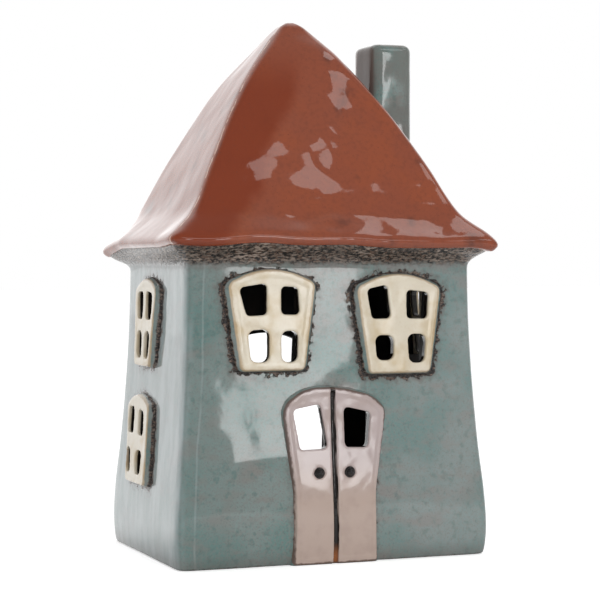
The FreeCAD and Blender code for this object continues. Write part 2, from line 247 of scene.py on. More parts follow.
# %% The wall shell
WALL_THICKNESS = 5 * MM
COVE_DROP = 8 * MM
COVE_REACH = 8.6 * MM
COVE_SHARES = [(0.0, 0.05), (0.2, 0.13), (0.42, 0.38), (0.7, 0.8), (1.0, 1.0)]
COVE_LEVEL_SHARES = (0.1, 0.25, 0.42, 0.6, 0.78, 0.92)
LAST_COVE_SHARE = 0.8
OUTSIDE_LEVELS = [0.7, 2.2, 5, 10, 16, 22, 28, 34, 40, 46, 52, 58, 64, 70, 76, 82, 88, 94,
                  100, 106, 112, 118, 123, 127, 129.6]
HIGHEST_INSIDE_LEVEL = 135
WALL_TOP = WALL_HEIGHT + 0.6 * MM
FOOT_ROUNDING = 0.7 * MM
CORNER_ROUNDING = 4 * MM


def wall_half(z, inset=0.0):
    draw_in = wall_lean(z) + inset
    return HALF_WIDTH - draw_in, HALF_DEPTH - draw_in


walls, ring = start_ring("glazed_walls", *wall_half(0, FOOT_ROUNDING), 0)
for level in OUTSIDE_LEVELS:
    next_ring(ring, *wall_half(level * MM), level * MM)
for height_share in COVE_LEVEL_SHARES:
    z = WALL_HEIGHT - COVE_DROP * (1 - height_share)
    flare = COVE_REACH * read_curve(COVE_SHARES, height_share)
    next_ring(ring, *wall_half(z, -flare), z)
next_ring(ring, *wall_half(WALL_HEIGHT, -COVE_REACH * LAST_COVE_SHARE), WALL_TOP)
next_ring(ring, *wall_half(WALL_HEIGHT, WALL_THICKNESS), WALL_TOP)
for level in reversed(OUTSIDE_LEVELS[::3] + [HIGHEST_INSIDE_LEVEL]):
    next_ring(ring, *wall_half(level * MM, WALL_THICKNESS), level * MM)
next_ring(ring, *wall_half(0, WALL_THICKNESS), 0)
bpy.ops.mesh.select_all(action="DESELECT")
bpy.ops.mesh.select_non_manifold()
bpy.ops.mesh.bridge_edge_loops()
round_corners(walls, CORNER_ROUNDING)
cut_across(walls)
bpy.ops.mesh.select_all(action="SELECT")
bpy.ops.mesh.normals_make_consistent(inside=False)
leave_edit()
print("Faces of the wall cage:", len(walls.data.polygons))

# %% [markdown]
# Clay that was pressed by hand isn't flat. A Subdivision Surface modifier makes the cage
# smooth and fine, and two Displace modifiers add slow waves of a fraction of a millimetre.
# They hardly show in the outline, but they break up every reflection, which is what makes
# a surface read as hand-built. A bump map would bend the light too, but the shape would
# stay flat in the exported mesh.

# %% Soft waves in the clay
OUTER_SKIN = 1.5 * MM
# Each wave: its size and its height, in mm.
WALL_WAVES = [(34, 0.27), (13, 0.07)]


def waves(obj, size, height, group=""):
    """Pushes a surface in and out by a slow cloud pattern."""
    pattern = bpy.data.textures.new(obj.name + "_waves", "CLOUDS")
    pattern.noise_scale = size
    pattern.noise_basis = "BLENDER_ORIGINAL"
    pattern.noise_depth = 1
    apply_modifier(
        obj, "DISPLACE", texture=pattern, texture_coords="LOCAL", strength=height,
        mid_level=0.5, vertex_group=group,
    )
    bpy.data.textures.remove(pattern)


def point_places(obj):
    places = np.zeros(len(obj.data.vertices) * 3)
    obj.data.vertices.foreach_get("co", places)
    return places.reshape(-1, 3)


def wall_gaps(places):
    """How far inside the side walls, and inside the front and back walls, points lie."""
    lean = wall_lean(places[:, 2])
    from_side = HALF_WIDTH - lean - np.abs(places[:, 0])
    from_front = HALF_DEPTH - lean - np.abs(places[:, 1])
    return from_side, from_front


def group_skin(obj, gaps):
    """Puts the points of the outer skin in a vertex group, by how deep they lie."""
    outer = np.nonzero(np.minimum(*gaps) < OUTER_SKIN)[0]
    obj.vertex_groups.new(name="outside").add([int(i) for i in outer], 1.0, "REPLACE")


apply_modifier(walls, "SUBSURF", levels=2, render_levels=2)
group_skin(walls, wall_gaps(point_places(walls)))
for size, height in WALL_WAVES:
    waves(walls, size * MM, height * MM, group="outside")
print("Faces of the wavy walls:", len(walls.data.polygons))

# %% [markdown]
# The windows and the doorways are holes through the slab. Boxes and a cylinder stand for
# the potter's knife, and one Boolean modifier takes them all away. The window tiles lap
# over their holes, so a hole only has to be a little larger than its panes.

# %% Tile outlines, as they were measured on the house
# A corner's first number is a share of the tile's width, counted from the middle, and its
# second one is a share of the height, counted from the sill.
FRONT_SHARES = [
    (-0.366, 0.0), (0.366, 0.0), (0.5, 0.86), (0.25, 0.965),
    (0.0, 1.0), (-0.25, 0.965), (-0.5, 0.86),
]
UPPER_SHARES = [
    (-0.42, 0.0), (0.31, 0.0), (0.52, 0.88), (0.3, 0.965),
    (0.06, 1.0), (-0.2, 0.965), (-0.47, 0.87),
]
LOWER_SHARES = [
    (-0.37, 0.0), (0.5, 0.0), (0.42, 0.88), (0.2, 0.965),
    (-0.04, 1.0), (-0.3, 0.965), (-0.53, 0.87),
]
DOOR_SHARES = [
    (-0.423, 0.0), (0.389, 0.0), (0.395, 0.42), (0.502, 0.872), (0.354, 0.951),
    (0.0, 1.0), (-0.285, 0.991), (-0.5, 0.9), (-0.414, 0.43),
]
LEFT_PANES = [
    [(-0.303, 0.539), (-0.062, 0.547), (-0.06, 0.868), (-0.39, 0.824)],
    [(0.103, 0.552), (0.327, 0.55), (0.307, 0.826), (0.108, 0.837)],
    [(-0.257, 0.077), (-0.042, 0.077), (-0.036, 0.408), (-0.293, 0.394)],
    [(0.1, 0.075), (0.291, 0.075), (0.306, 0.388), (0.104, 0.388)],
]
RIGHT_PANES = [
    [(-0.334, 0.547), (-0.096, 0.551), (-0.141, 0.896), (-0.39, 0.849)],
    [(0.094, 0.549), (0.351, 0.541), (0.37, 0.814), (0.094, 0.844)],
    [(-0.28, 0.125), (-0.075, 0.123), (-0.066, 0.378), (-0.302, 0.38)],
    [(0.118, 0.093), (0.306, 0.091), (0.338, 0.388), (0.1, 0.39)],
]
UPPER_PANES = [
    [(-0.326, 0.533), (-0.084, 0.533), (-0.074, 0.853), (-0.358, 0.843)],
    [(0.074, 0.533), (0.326, 0.533), (0.379, 0.832), (0.063, 0.863)],
    [(-0.305, 0.081), (-0.084, 0.081), (-0.084, 0.396), (-0.326, 0.396)],
    [(0.053, 0.081), (0.253, 0.081), (0.305, 0.396), (0.063, 0.396)],
]
LOWER_PANES = [
    [(-0.441, 0.55), (-0.178, 0.55), (-0.189, 0.858), (-0.43, 0.848)],
    [(0.042, 0.544), (0.283, 0.544), (0.252, 0.818), (0.021, 0.848)],
    [(-0.367, 0.099), (-0.189, 0.099), (-0.262, 0.382), (-0.451, 0.372)],
    [(0.052, 0.099), (0.304, 0.099), (0.273, 0.372), (-0.021, 0.372)],
]
DOOR_PANES = [
    [(-0.345, 0.648), (-0.077, 0.653), (-0.143, 0.909), (-0.408, 0.879)],
    [(0.09, 0.658), (0.316, 0.653), (0.352, 0.853), (0.085, 0.893)],
]
print("Corners of a front window's tile:", len(FRONT_SHARES))

# %% Where the tiles hang
# Each tile: the side it is on, outline, panes, width, height, middle across and sill.
TILES = {
    "window_front_left": ("front", FRONT_SHARES, LEFT_PANES, 38.8, 43.0, -29.2, 84.6),
    "window_front_right": ("front", FRONT_SHARES, RIGHT_PANES, 38.8, 43.0, 30.2, 82.5),
    "window_left_upper": ("left", UPPER_SHARES, UPPER_PANES, 30.4, 38.8, -7.0, 84.6),
    "window_left_lower": ("left", LOWER_SHARES, LOWER_PANES, 32.4, 39.1, -9.0, 32.1),
    "window_right_upper": ("right", UPPER_SHARES, UPPER_PANES, 30.4, 38.8, 7.0, 84.6),
    "window_right_lower": ("right", LOWER_SHARES, LOWER_PANES, 32.4, 39.1, 9.0, 32.1),
    "double_door": ("front", DOOR_SHARES, DOOR_PANES, 47.8, 75.7, -0.7, 0.6),
}


def outline_points(tile, shares):
    """The corners of an outline, as metres across and up on the tile's side."""
    _, _, _, width, height, middle, sill = TILES[tile]
    return [
        ((middle + across * width) * MM, (sill + up * height) * MM) for across, up in shares
    ]


# Across and outward directions of each side, as (x, y), and how far out its wall reaches.
ACROSS = {"front": (1, 0), "left": (0, -1), "right": (0, 1)}
OUTWARD = {"front": (0, -1), "left": (-1, 0), "right": (1, 0)}
REACH = {"front": HALF_DEPTH, "left": HALF_WIDTH, "right": HALF_WIDTH}


def on_side(side, across, up, out):
    """A point on a side of the house, out from the middle."""
    a, o = ACROSS[side], OUTWARD[side]
    return (a[0] * across + o[0] * out, a[1] * across + o[1] * out, up)


print("Tiles to hang on the walls:", len(TILES))

# %% Cut the openings
KNIFE_DEPTH = 24 * MM
KNIFE_ROOM = 1.6 * MM
KNIFE_SINK = 8 * MM
PANE_FOOT_SHARE = 0.84
DOOR_FOOT_SHARE = 0.86


def start_box(name, centre, size):
    """A box of a size at a place, left in edit mode."""
    bpy.ops.object.select_all(action="DESELECT")
    bpy.ops.mesh.primitive_cube_add(size=1, location=centre)
    obj = bpy.context.active_object
    obj.name = obj.data.name = name
    obj.scale = size
    bpy.ops.object.transform_apply()
    bpy.ops.object.mode_set(mode="EDIT")
    return obj


def knife(side, panes, foot_share):
    """A box that covers the panes it is given, narrower at the foot."""
    across = [point[0] for pane in panes for point in pane]
    up = [point[1] for pane in panes for point in pane]
    centre = on_side(
        side, (min(across) + max(across)) / 2, (min(up) + max(up)) / 2, REACH[side] - KNIFE_SINK
    )
    width = max(across) - min(across) + KNIFE_ROOM
    height = max(up) - min(up) + KNIFE_ROOM
    if side == "front":
        size, narrow = (width, KNIFE_DEPTH, height), (foot_share, 1, 1)
    else:
        size, narrow = (KNIFE_DEPTH, width, height), (1, foot_share, 1)
    obj = start_box("pane_knife", centre, size)
    pick(obj, "FACE", lambda f: f.normal.z < -0.5)
    bpy.ops.transform.resize(value=narrow, center_override=centre)
    leave_edit()
    return obj


knives = []
for tile, (side, _, panes, *_rest) in TILES.items():
    corners = [outline_points(tile, pane) for pane in panes]
    if tile == "double_door":
        knives += [knife(side, [pane], DOOR_FOOT_SHARE) for pane in corners]
    else:
        knives.append(knife(side, corners, PANE_FOOT_SHARE))
print("Knives for the panes:", len(knives))

# %% [markdown]
# The arch in the back lets a hand put the tealight in. Its knife is a lying cylinder whose
# lower half is pressed flat down to the floor slab, which leaves an arch with straight
# sides. The small pieces of the knife are joined, so that one cut does it all.

# %% Cut the arch
ARCH_RADIUS = 39 * MM
ARCH_SPRING = 58 * MM
ARCH_KNIFE_LENGTH = 30 * MM
FLOOR_TOP = 6 * MM
HAIR = 0.01 * MM
bpy.ops.object.select_all(action="DESELECT")
bpy.ops.mesh.primitive_cylinder_add(
    vertices=96, radius=ARCH_RADIUS, depth=ARCH_KNIFE_LENGTH, rotation=(math.pi / 2, 0, 0),
    location=(0, HALF_DEPTH - KNIFE_SINK, ARCH_SPRING),
)
bpy.ops.object.transform_apply()
arch_knife = bpy.context.active_object
bpy.ops.object.mode_set(mode="EDIT")
pick(arch_knife, "VERT", lambda v: v.co.z < ARCH_SPRING - HAIR)
bpy.ops.transform.resize(value=(1, 1, 0), center_override=(0, 0, FLOOR_TOP))
leave_edit()
knives.append(arch_knife)


def join_all(parts, name):
    """Makes one object of several."""
    bpy.ops.object.select_all(action="DESELECT")
    for part in parts:
        part.select_set(True)
    bpy.context.view_layer.objects.active = parts[0]
    bpy.ops.object.join()
    parts[0].name = parts[0].data.name = name
    return parts[0]


def take_away(obj, cutter):
    """Cuts one closed shape out of another and throws the cutter away."""
    apply_modifier(obj, "BOOLEAN", operation="DIFFERENCE", solver="EXACT", object=cutter)
    bpy.data.objects.remove(cutter)


take_away(walls, join_all(knives, "knives"))
print("Faces of the walls with their openings:", len(walls.data.polygons))

# %% [markdown]
# The roof starts at the lip of the eaves. Its rings climb a bellcast curve: nearly flat at
# the eaves, then steep, and a little off centre at the top, because the slabs were leaned
# together by hand. The hips are bevelled before the last small rings are added, since a
# wide bevel would tear the tip.

# %% The roof shell
EAVE_HALF_WIDTH = 77.1 * MM
EAVE_HALF_DEPTH = 55.6 * MM
ROOF_RISE = 102 * MM
ROOF_LEAN = 3.2 * MM
EAVE_SHARE = -0.012
ROOF_SHARES = [
    (EAVE_SHARE, 0.962), (0.0, 0.99), (0.018, 1.0), (0.033, 0.988), (0.06, 0.945),
    (0.1, 0.882), (0.135, 0.83), (0.17, 0.797), (0.31, 0.7), (0.44, 0.605),
    (0.64, 0.447), (0.785, 0.308), (0.915, 0.156), (0.96, 0.096), (0.987, 0.056), (1.0, 0.02),
]
ROOF_LEVEL_SHARES = [
    -0.007, 0.005, 0.018, 0.036, 0.058, 0.08, 0.105, 0.135, 0.17, 0.215, 0.265, 0.32,
    0.375, 0.43, 0.485, 0.54, 0.595, 0.65, 0.705, 0.76, 0.815, 0.865, 0.912,
]
TIP_LEVEL_SHARES = [0.94, 0.963, 0.98, 0.992, 1.0]
ATTIC_LEVEL_SHARES = [0.16, 0.31, 0.44, 0.64, 0.8]
SLAB_ACROSS = 5.8 * MM
HIP_ROUNDING = 3.4 * MM
SAME_LEVEL = 0.2 * MM


def roof_half(share, inset=0.0):
    """Half the roof's width and depth at a share of its rise."""
    reach = read_curve(ROOF_SHARES, share)
    return EAVE_HALF_WIDTH * reach - inset, EAVE_HALF_DEPTH * reach - inset


def roof_height(share):
    return WALL_HEIGHT + ROOF_RISE * share


def roof_rings(ring, shares, inset=0.0):
    """Extrudes a ring through the levels of the roof, leaning a little as it climbs."""
    for share in shares:
        next_ring(ring, *roof_half(share, inset), roof_height(share), -ROOF_LEAN * share)


def pick_level(obj, z):
    """Selects the open edges at a height."""
    pick(
        obj, "EDGE",
        lambda e: len(e.link_faces) < 2 and all(abs(v.co.z - z) < SAME_LEVEL for v in e.verts),
    )


roof, ring = start_ring("glazed_roof", *roof_half(EAVE_SHARE), roof_height(EAVE_SHARE))
roof_rings(ring, ROOF_LEVEL_SHARES)
top_ring = list(ring)
pick_level(roof, roof_height(EAVE_SHARE))
ring = [*roof_half(EAVE_SHARE), roof_height(EAVE_SHARE), 0.0]
next_ring(ring, *wall_half(WALL_HEIGHT, WALL_THICKNESS), roof_height(EAVE_SHARE))
roof_rings(ring, ATTIC_LEVEL_SHARES, SLAB_ACROSS)
bpy.ops.mesh.edge_face_add()
round_corners(roof, HIP_ROUNDING)
cut_across(roof)
pick_level(roof, top_ring[2])
roof_rings(top_ring, TIP_LEVEL_SHARES)
bpy.ops.mesh.edge_face_add()
bpy.ops.mesh.select_all(action="SELECT")
bpy.ops.mesh.normals_make_consistent(inside=False)
leave_edit()
print("Faces of the roof cage:", len(roof.data.polygons))

# %% [markdown]
# Nothing on the real house is square. The eaves rise over the left window and droop at two
# corners, where the lip is also thicker, and the left hips are hollower than the right
# ones. Proportional editing pulls a whole region with a falloff, so each small correction
# stays smooth. The eaves are pulled on the roof and on the walls alike, to stay closed.

# %% Pull the cage at the listed spots
def pull(obj, spot, radius, move):
    """Moves the points round a spot, less and less towards the radius. All in mm."""
    edit(obj)
    places = point_places(obj)
    nearest = int(np.argmin(((places - np.array(spot) * MM) ** 2).sum(axis=1)))
    shape = bmesh.from_edit_mesh(obj.data)
    shape.verts.ensure_lookup_table()
    shape.verts[nearest].select_set(True)
    bmesh.update_edit_mesh(obj.data)
    bpy.ops.transform.translate(
        value=[step * MM for step in move], use_proportional_edit=True,
        proportional_edit_falloff="SMOOTH", proportional_size=radius * MM,
    )
    leave_edit()


EAVE_PULLS = [
    ((-76, -54, 139), 24, (0, 0, 1.2)), ((-39, -55, 139), 30, (0, 0, 2.4)),
    ((-2, -55, 139), 28, (0, 0, 1.5)), ((76, -54, 139), 24, (0, 0, 0.3)),
    ((76, 54, 139), 34, (0, 0, -1.2)), ((-76, 54, 139), 32, (0, 0, -3.2)),
]
ROOF_PULLS = [
    ((-16, 9, 221), 17, (1.6, -1.1, 0)), ((-65, 47, 148), 13, (2.0, -1.6, 0)),
    ((75, -53, 137), 8, (0, 0, -2.0)), ((-75, 53, 134), 8, (0, 0, -1.2)),
]
for spot, radius, move in EAVE_PULLS:
    pull(roof, spot, radius, move)
    pull(walls, spot, radius, move)
for spot, radius, move in ROOF_PULLS:
    pull(roof, spot, radius, move)
print("Eaves pulled into line by", len(EAVE_PULLS), "pulls")

# %% [markdown]
# A palm that presses on a soft slab leaves a steeper patch, and on the fired house each of
# these catches a lamp. So the top of every mark is pulled out and its foot is pushed in.
# One dent would bend the glaze both ways, but a pair keeps the patch nearly flat.

# %% Press the palm marks
# Each mark: its top, its foot, its reach and its depth.
PALM_MARKS = [
    ((-22.5, -33, 187), (-30.5, -41, 163.5), 15, 1.2),
    ((-8.5, -34.4, 184), (-1.5, -42.4, 160), 12.5, 1.25),
    ((1.5, -29.4, 194), (5.5, -36.6, 176), 11.5, 0.85),
    ((6.5, -16.5, 221), (19.4, -27.2, 196), 19, 2.3),
    ((23.4, -37.2, 173.9), (24.3, -41.9, 161.4), 7, 0.4),
]
# Small dents in the front slab and its eave, with their reach and depth. Two swell out.
FRONT_DENTS = [
    ((50, -51.5, 146.4), 8, 0.6), ((-15, -49, 149), 6.5, 0.5), ((-3, -54, 145), 6.5, 0.5),
    ((30, -53, 145), 5.5, -0.3), ((-15, -37.5, 173), 6.5, -0.7),
]
SLAB_OUTWARD = np.array([0, -0.92, 0.39])
DENT_INWARD = np.array([0, 0.75, -0.65])
# A soft ridge across the front wall, left of the door.
WALL_RIDGE = [(-51, -49, 46.5), (-39, -49, 48), (-26, -49, 47.5)]
RIDGE_REACH = 17
RIDGE_HEIGHT = 0.3
for top, foot, radius, depth in PALM_MARKS:
    pull(roof, top, radius, SLAB_OUTWARD * depth)
    pull(roof, foot, radius, SLAB_OUTWARD * -depth)
for spot, radius, depth in FRONT_DENTS:
    pull(roof, spot, radius, DENT_INWARD * depth)
for spot in WALL_RIDGE:
    pull(walls, spot, RIDGE_REACH, (0, -RIDGE_HEIGHT, 0))
print("Palm marks on the roof:", len(PALM_MARKS))

# %% [markdown]
# The flue goes down through the chimney and the right-hand slab of the roof. One box cuts
# both, so the two holes are sure to meet.

# %% Smooth the roof and cut the flue
CHIMNEY_X = 45.1 * MM
CHIMNEY_Y = 4.5 * MM
CHIMNEY_WIDTH = 20.2 * MM
CHIMNEY_DEPTH = 25 * MM
CHIMNEY_WALL = 4.6 * MM
CHIMNEY_TOP = 231.4 * MM
FLUE_MIDDLE = 195 * MM
FLUE_LENGTH = 100 * MM
FLUE_ROUNDING = 2.4 * MM
ROOF_WAVES = [(26, 0.8), (9, 0.2)]


def roof_gaps(places):
    """How far inside the side slabs, and inside the front and back slabs, points lie."""
    share = np.clip((places[:, 2] - WALL_HEIGHT) / ROOF_RISE, 0, 1)
    half_x, half_y = roof_half(share)
    from_side = half_x - np.abs(places[:, 0] + ROOF_LEAN * share)
    from_front = half_y - np.abs(places[:, 1])
    return from_side, from_front


def round_uprights(obj, width, segments):
    """Bevels the upright edges of a box that is in edit mode."""
    pick(obj, "EDGE", lambda e: abs(e.verts[0].co.z - e.verts[1].co.z) > 10 * MM)
    bpy.ops.mesh.bevel(offset=width, segments=segments, affect="EDGES")


def flue_knife():
    obj = start_box("flue_knife", (CHIMNEY_X, CHIMNEY_Y, FLUE_MIDDLE), (
        CHIMNEY_WIDTH - 2 * CHIMNEY_WALL, CHIMNEY_DEPTH - 2 * CHIMNEY_WALL, FLUE_LENGTH
    ))
    round_uprights(obj, FLUE_ROUNDING, 4)
    leave_edit()
    return obj


apply_modifier(roof, "SUBSURF", levels=2, render_levels=2)
group_skin(roof, roof_gaps(point_places(roof)))
for size, height in ROOF_WAVES:
    waves(roof, size * MM, height * MM, group="outside")
take_away(roof, flue_knife())
print("Faces of the roof:", len(roof.data.polygons))

# %% [markdown]
# The chimney is a folded tube of clay. It starts as a box whose foot is cut off along the
# slope of the roof. A voxel Remesh modifier then gives it an even skin, and a Smooth
# modifier rounds every edge, as a wet finger does.

# %% The chimney
CHIMNEY_FOOT = 140 * MM
CHIMNEY_VOXEL = 0.6 * MM
CHIMNEY_ROUNDING = 4.6 * MM
CHIMNEY_TOP_ROUNDING = 3.4 * MM
SLOPE_HEIGHT = 178 * MM
SLOPE_NORMAL = (0.85, 0, 0.52)


def soften(obj, voxel, rounds):
    """Even skin and rounded edges for a small clay piece."""
    apply_modifier(obj, "REMESH", mode="VOXEL", voxel_size=voxel, use_smooth_shade=True)
    apply_modifier(obj, "SMOOTH", factor=0.5, iterations=rounds)


chimney = start_box(
    "glazed_chimney", (CHIMNEY_X, CHIMNEY_Y, (CHIMNEY_TOP + CHIMNEY_FOOT) / 2),
    (CHIMNEY_WIDTH, CHIMNEY_DEPTH, CHIMNEY_TOP - CHIMNEY_FOOT),
)
round_uprights(chimney, CHIMNEY_ROUNDING, 6)
bpy.ops.mesh.select_all(action="SELECT")
bpy.ops.mesh.bisect(
    plane_co=(CHIMNEY_X, CHIMNEY_Y, SLOPE_HEIGHT), plane_no=SLOPE_NORMAL,
    clear_inner=True, use_fill=True,
)
pick(chimney, "FACE", lambda f: f.normal.z > 0.9)
bpy.ops.mesh.bevel(offset=CHIMNEY_TOP_ROUNDING, segments=5, affect="EDGES")
leave_edit()
take_away(chimney, flue_knife())
soften(chimney, CHIMNEY_VOXEL, 4)
waves(chimney, 16 * MM, 0.5 * MM)
print("Faces of the chimney:", len(chimney.data.polygons))

# %% [markdown]
# Each window is a tile of clay with four panes cut out. The measured solid has crisp
# edges, so a copy of it is merged, its back is pushed a little into the wall, and then it
# is softened. Starting from the solid keeps every pane where it belongs.

# %% Tiles from the solids
TILE_SINK = 1.1 * MM
TILE_VOXEL = 0.36 * MM
TILE_ROUNDS = 7
SAME_POINT = 0.002 * MM
# Points that stand out less than this belong to a tile's back.
BACK_HEIGHT = 0.45 * MM
TILE_WAVE = 8 * MM
DOOR_SWELL = 0.11 * MM
WINDOW_SWELL = 0.24 * MM


def copy_solid(node, name):
    """A free copy of a measured solid with its loose triangles merged."""
    only(frame["nodes"][node])
    bpy.ops.object.duplicate()
    obj = bpy.context.active_object
    obj.parent = None
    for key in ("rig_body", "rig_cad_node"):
        del obj[key]
    obj.name = obj.data.name = name
    obj.data.materials.clear()
    edit(obj)
    bpy.ops.mesh.select_all(action="SELECT")
    bpy.ops.mesh.remove_doubles(threshold=SAME_POINT)
    leave_edit()
    return obj


def tile_depth(side, places):
    """How far each point stands out from the wall's face on a side."""
    outward = np.array([*OUTWARD[side], 0.0])
    return places @ outward - (REACH[side] - wall_lean(places[:, 2]))


tiles = {}
for tile, (side, *_rest) in TILES.items():
    obj = copy_solid(tile, tile + "_tile")
    standing_out = tile_depth(side, point_places(obj))
    edit(obj)
    pick(obj, "VERT", lambda v: standing_out[v.index] < BACK_HEIGHT)
    inward = [-step * TILE_SINK for step in OUTWARD[side]]
    bpy.ops.transform.translate(value=(*inward, 0))
    leave_edit()
    soften(obj, TILE_VOXEL, TILE_ROUNDS)
    waves(obj, TILE_WAVE, DOOR_SWELL if tile == "double_door" else WINDOW_SWELL)
    tiles[tile] = obj
    print(tile, "faces:", len(obj.data.polygons))

# %% [markdown]
# The knobs are two balls of clay pressed into little collars. A sphere is flattened and a
# thin ring is laid round its foot. Both are pushed into the door a little, so that nothing
# floats.

# %% Door knobs
KNOB_SPOTS = {"door_knob_left": -8.78, "door_knob_right": 5.42}
KNOB_HEIGHT = 39.6 * MM
KNOB_STAND_OFF = 2.2 * MM
KNOB_RADIUS = 1.7 * MM
KNOB_FLATNESS = 0.9
COLLAR_RADIUS = 1.85 * MM
COLLAR_THICKNESS = 0.5 * MM
COLLAR_SINK = 0.15 * MM
face = -(HALF_DEPTH - wall_lean(KNOB_HEIGHT) + KNOB_STAND_OFF)
knobs = {}
for node, across in KNOB_SPOTS.items():
    bpy.ops.object.select_all(action="DESELECT")
    bpy.ops.mesh.primitive_uv_sphere_add(
        segments=32, ring_count=20, radius=KNOB_RADIUS, location=(across * MM, face, KNOB_HEIGHT)
    )
    dome = bpy.context.active_object
    dome.scale = (1, KNOB_FLATNESS, 1)
    bpy.ops.object.select_all(action="DESELECT")
    bpy.ops.mesh.primitive_torus_add(
        major_radius=COLLAR_RADIUS, minor_radius=COLLAR_THICKNESS, major_segments=40,
        minor_segments=12, rotation=(math.pi / 2, 0, 0),
        location=(across * MM, face + COLLAR_SINK, KNOB_HEIGHT),
    )
    collar = bpy.context.active_object
    knobs[node] = join_all([dome, collar], node + "_ball")
    bpy.ops.object.transform_apply()
    waves(knobs[node], 2 * MM, 0.2 * MM)
    bpy.ops.object.shade_smooth()
print("Knobs:", len(knobs))

# %% [markdown]
# Glazes pool, break and burn by where they are: a brown oxide line gathers round every
# tile, the cream breaks to ochre on its edges, the panes are black inside. So each mesh
# carries a few measured distances as attributes, and the glazes read them. Painting image
# masks by hand would also work, but distances stay exact at any size.

# %% Distances from an outline
from mathutils import Vector

ARC_STEPS = 6
# The largest share of an outline's side that one arc may take.
LONGEST_SETBACK = 0.42


def mark(obj, name, values):
    """Stores one number per point of a mesh, for its glaze to read."""
    made = obj.data.attributes.new(name, "FLOAT", "POINT")
    made.data.foreach_set("value", np.asarray(values, np.float32))


def inside_distance(across, up, corners):
    """How far inside an outline each point lies, in mm, and negative outside it."""
    nearest = np.full(len(across), 1e9)
    inside = np.zeros(len(across), bool)
    for i, (ax, ay) in enumerate(corners):
        bx, by = corners[(i + 1) % len(corners)]
        run = (bx - ax) ** 2 + (by - ay) ** 2
        t = np.clip(((across - ax) * (bx - ax) + (up - ay) * (by - ay)) / run, 0, 1)
        gap = np.hypot(across - ax - t * (bx - ax), up - ay - t * (by - ay))
        nearest = np.minimum(nearest, gap)
        crosses = (ay > up) != (by > up)
        level = ax + (up - ay) * (bx - ax) / (by - ay if by != ay else 1e-12)
        inside ^= crosses & (across < level)
    return np.where(inside, nearest, -nearest) / MM


def rounded(corners, radii):
    """An outline whose corners are turned into arcs, each with a radius in mm."""
    line = []
    for i, corner in enumerate(corners):
        here = Vector(corner)
        back = Vector(corners[i - 1]) - here
        ahead = Vector(corners[(i + 1) % len(corners)]) - here
        half_angle = back.angle(ahead) / 2
        room = min(back.length, ahead.length) * LONGEST_SETBACK
        setback = min(radii[i] * MM / math.tan(half_angle), room)
        radius = setback * math.tan(half_angle)
        inward = (back.normalized() + ahead.normalized()).normalized()
        centre = here + inward * (radius / math.sin(half_angle))
        start = here + back.normalized() * setback - centre
        end = here + ahead.normalized() * setback - centre
        for step in range(ARC_STEPS + 1):
            spot = centre + start.length * start.slerp(end, step / ARC_STEPS).normalized()
            line.append((spot.x, spot.y))
    return line


print("Outline helpers are ready")

# %% [markdown]
# On the walls, the distance to the nearest tile says where the brown oxide lies. The oxide
# is wider on some sides of a tile than on others, as the brush left it, so the distance is
# shifted by a strength that is blended round the tile.

# %% Distances on the walls
FAR = 99.0
WINDOW_RADII = (2, 2, 3, 30, 30, 30, 3)
DOOR_RADII = (1.6, 1.6, 60, 9.5, 40, 40, 40, 9.5, 60)
WINDOW_FLANKS = (3.0, 1.2)
DOOR_FLANKS = (1.6, 1.6)
FACE_DEPTH = 1.2 * MM
CRUST_REACH = 3.0
# How strong the oxide is at the left, top, right and foot of a tile: 1 is a full band.
CRUST_SHARES = {
    "window_front_left": (1.0, 0.35, 0.5, 0.75), "window_front_right": (1.0, 0.75, 0.9, 1.0),
    "window_left_upper": (0.4, 0.6, 1.1, 0.6), "window_left_lower": (0.4, 0.5, 1.1, 0.6),
    "window_right_upper": (0.8, 0.5, 0.8, 0.7), "window_right_lower": (0.8, 0.5, 0.8, 0.7),
    "double_door": (-0.3, -0.2, -0.2, -0.1),
}


def across_and_up(side, places):
    return places @ np.array([*ACROSS[side], 0.0]), places[:, 2]


def corner_radii(tile):
    return DOOR_RADII if tile == "double_door" else WINDOW_RADII


def foot_outline(tile, flank_across, flank_up):
    """A tile's outline where its flanks meet the wall."""
    _, shares, _, width, height, middle, sill = TILES[tile]
    return [
        (
            (middle + across * (width + 2 * flank_across)) * MM,
            (sill - flank_up + up * (height + 2 * flank_up)) * MM,
        )
        for across, up in shares
    ]


def crust_share(tile, across, up):
    """The oxide's strength at points round a tile, blended by their direction."""
    _, _, _, width, height, middle, sill = TILES[tile]
    off_x = (across / MM - middle) / (width / 2)
    off_z = (up / MM - sill - height / 2) / (height / 2)
    at_left, at_top, at_right, at_foot = CRUST_SHARES[tile]
    sideways = np.where(off_x < 0, at_left, at_right)
    upward = np.where(off_z > 0, at_top, at_foot)
    blend = off_z**6 / (off_x**6 + off_z**6)
    return sideways * (1 - blend) + upward * blend


places = point_places(walls)
rim = np.full(len(places), FAR)
for tile, (side, *_rest) in TILES.items():
    across, up = across_and_up(side, places)
    here = tile_depth(side, places) > -FACE_DEPTH
    flanks = DOOR_FLANKS if tile == "double_door" else WINDOW_FLANKS
    outline = rounded(foot_outline(tile, *flanks), corner_radii(tile))
    gap = CRUST_REACH * (1 - crust_share(tile, across, up)) - inside_distance(across, up, outline)
    rim[here] = np.minimum(rim[here], gap[here])
from_side, from_front = wall_gaps(places)
mark(walls, "rim", rim)
mark(walls, "turn", (from_side - from_front) / MM)
print("Wall points near a tile:", int((rim < CRUST_REACH).sum()))

